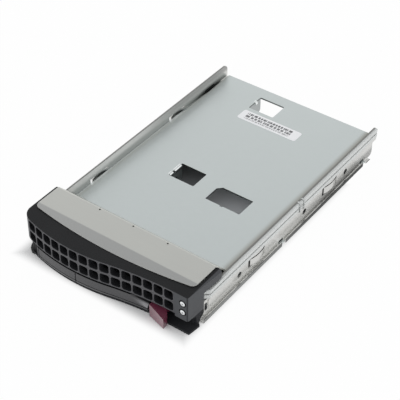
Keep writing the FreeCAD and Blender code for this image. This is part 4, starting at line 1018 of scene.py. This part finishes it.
def label_paper():
    """White paper with rows of grey blocks: noise along each row, cut off at a level."""
    finish = new_finish("label_paper")
    x, y, _ = finish.axes()
    fibre = finish.noise(0.5 * MM, detail=3.0)
    ink = 0 * x
    for low, high, length, dark in INK_ROWS:
        blocks = finish.noise(length * MM, detail=0.0, stretch=(1, 0, 0)).rise(*INK_CUT)
        ink = ink + y.within(low, high, INK_SOFT) * blocks * dark
    ink = ink * x.within(INK_LEFT, INK_RIGHT, INK_SOFT)
    paper = finish.blend(fibre, (0.94, 0.945, 0.96), (0.97, 0.975, 0.99))
    return finish.surface(
        Base_Color=finish.blend(ink, paper, (0.03, 0.03, 0.035)),
        Roughness=0.55 + fibre * 0.1,
        Normal=finish.bump(fibre, 0.004 * MM),
    )


paint(label_paper(), "plate_label")

# %% [markdown]
# ## The light pipes
#
# Two bars of clear plastic run along the right rail to the lamps. They look bright because they gather
# light from all sides, so they are partly milky and only partly clear.

# %% Clear plastic
ACRYLIC, PIPE_CLEAR, CLIP_CLEAR = 1.49, 0.12, 0.2


def clear_plastic(name, clear):
    """Clear moulded bars: milky, smooth, bending what light passes like acrylic."""
    finish = new_finish(name)
    haze = finish.noise(9 * MM, stretch=(1, 0.15, 1))
    return finish.surface(
        Base_Color=finish.blend(haze, (0.66, 0.68, 0.67), (0.76, 0.78, 0.77)),
        Roughness=0.18 + haze * 0.14,
        IOR=ACRYLIC,
        Transmission_Weight=clear,
        Coat_Weight=0.3,
    )


paint(clear_plastic("clear_pipe", PIPE_CLEAR), "lower_light_pipe", "upper_light_pipe")

# %% [markdown]
# ## The pipe clip
#
# A small clip of the same plastic holds the two bars to the rail. What shows are two thin straps, each a
# hooked line drawn along the rail and given a thickness.

# %% Clip straps
STRAP_LINE = ((51.2, 17.7), (53.1, 17.7), (53.35, 17.45), (53.35, 11.9), (53.1, 11.6), (51.9, 11.6))
STRAPS, STRAP_DEPTH = ((9.7, 10.5), (13.3, 14.1)), 0.35


def strap(start, end):
    """The hooked line at both ends of a short run along the rail."""
    line = np.array(STRAP_LINE)
    ends = [np.insert(line, 1, y, axis=1) for y in (start, end)]
    return np.stack(ends), grid_faces(2, len(line), around=False)


clip = clear_plastic("clear_clip", CLIP_CLEAR)
straps = make_piece("clip_straps", [strap(*run) for run in STRAPS], "tray", clip)
thicken(straps, STRAP_DEPTH, offset=0.0)
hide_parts("light_pipe_clip")

# %% [markdown]
# ## Light and floor
#
# A white cove: the floor is pale, the walls are white to a good height and the ceiling is darker, which,
# with painted shade on their tops, keeps the tops of the dark mouldings dark. The cove gives most of the
# light, because a strong lamp mirrored in bare metal burns out to white; two large, weak soft boxes in
# front and on the right only give it a direction. The floor shows white around the tray. Under it, where
# the plate's windows look down on it, the sheet is painted darker towards the left as painted shade,
# because the cove alone leaves it too pale there.

# %% Studio
WHITE, CEILING = (1.0, 1.0, 1.0), (0.5, 0.51, 0.52)
WALL_TOP, CEILING_FROM = 0.55, 0.85
BOX_WIDTH, BOX_DISTANCE = 1.8, 1.6
FLOOR_HALF, FLOOR_GLOW = 4.0, 0.97
SHADE_MIDDLE, SHADE_HALF, SHADE_RUN = -18, 74, (-18, 22)
WHITE_FADE, DEEP_FADE = (-5, 3), (-20, -6)


def studio_world():
    """White walls that fade towards a grey ceiling."""
    world = bpy.data.worlds.new("cove")
    finish = Finish(world)
    scene.world = world
    direction = finish.add("ShaderNodeTexCoord", output="Generated")
    up = finish.add("ShaderNodeSeparateXYZ", sockets={"Vector": direction}, output="Z")
    stops = [(0.0, WHITE), (WALL_TOP, WHITE), (CEILING_FROM, CEILING)]
    shade = finish.add("ShaderNodeValToRGB", {"stops": stops}, {"Fac": up})
    background = finish.add("ShaderNodeBackground", sockets={"Color": shade, "Strength": 1.0})
    finish.add("ShaderNodeOutputWorld", sockets={"Surface": background})
    print("cove with white walls and a ceiling of", CEILING)


def soft_box(name, azimuth, elevation, watts):
    """A square area light that looks at the tray from two angles in degrees."""
    lamp = bpy.data.objects.new(name, bpy.data.lights.new(name, "AREA"))
    lamp.data.size = BOX_WIDTH
    lamp.data.energy = watts
    direction = away(math.radians(azimuth), math.radians(elevation))
    lamp.matrix_world = Matrix.Translation(direction * BOX_DISTANCE) @ facing_back(direction)
    scene.collection.objects.link(lamp)
    print(name, "of", watts, "W")


def pale_floor():
    """A sheet that shows as white round the tray, and as it is lit, with painted shade, under the tray's
    front and middle.
    """
    mesh = bpy.data.meshes.new("floor")
    corners = [(x * FLOOR_HALF, y * FLOOR_HALF, 0) for x, y in ((-1, -1), (1, -1), (1, 1), (-1, 1))]
    mesh.from_pydata(corners, [], [(0, 1, 2, 3)])
    floor = bpy.data.objects.new("floor", mesh)
    scene.collection.objects.link(floor)
    finish = new_finish("white_sheet")
    x, y, _ = finish.axes()
    off_tray = (abs(x) - cad_high.x / MM).most(abs(y - SHADE_MIDDLE) - SHADE_HALF)
    shown = finish.seen() * off_tray.rise(*WHITE_FADE) * FLOOR_GLOW
    deep_shade = finish.blend(x.rise(*SHADE_RUN), (0.21, 0.215, 0.22), (0.72, 0.73, 0.75))
    shade = finish.blend(off_tray.rise(*DEEP_FADE), deep_shade, (0.9, 0.9, 0.9))
    sheet = {"Base Color": shade, "Roughness": 1.0, "Specular IOR Level": 0.0}
    matt_shaded = finish.add("ShaderNodeBsdfPrincipled", sockets=sheet)
    glow = finish.add("ShaderNodeEmission", sockets={"Color": (*WHITE, 1.0), "Strength": 1.0})
    mixed = finish.add("ShaderNodeMixShader", sockets={0: shown, 1: matt_shaded, 2: glow})
    finish.add("ShaderNodeOutputMaterial", sockets={"Surface": mixed})
    mesh.materials.append(finish.owner)
    print("floor of", 2 * FLOOR_HALF, "m")


studio_world()
soft_box("front_box", azimuth=-31, elevation=30, watts=3)
soft_box("right_box", azimuth=75, elevation=32, watts=2.5)
pale_floor()
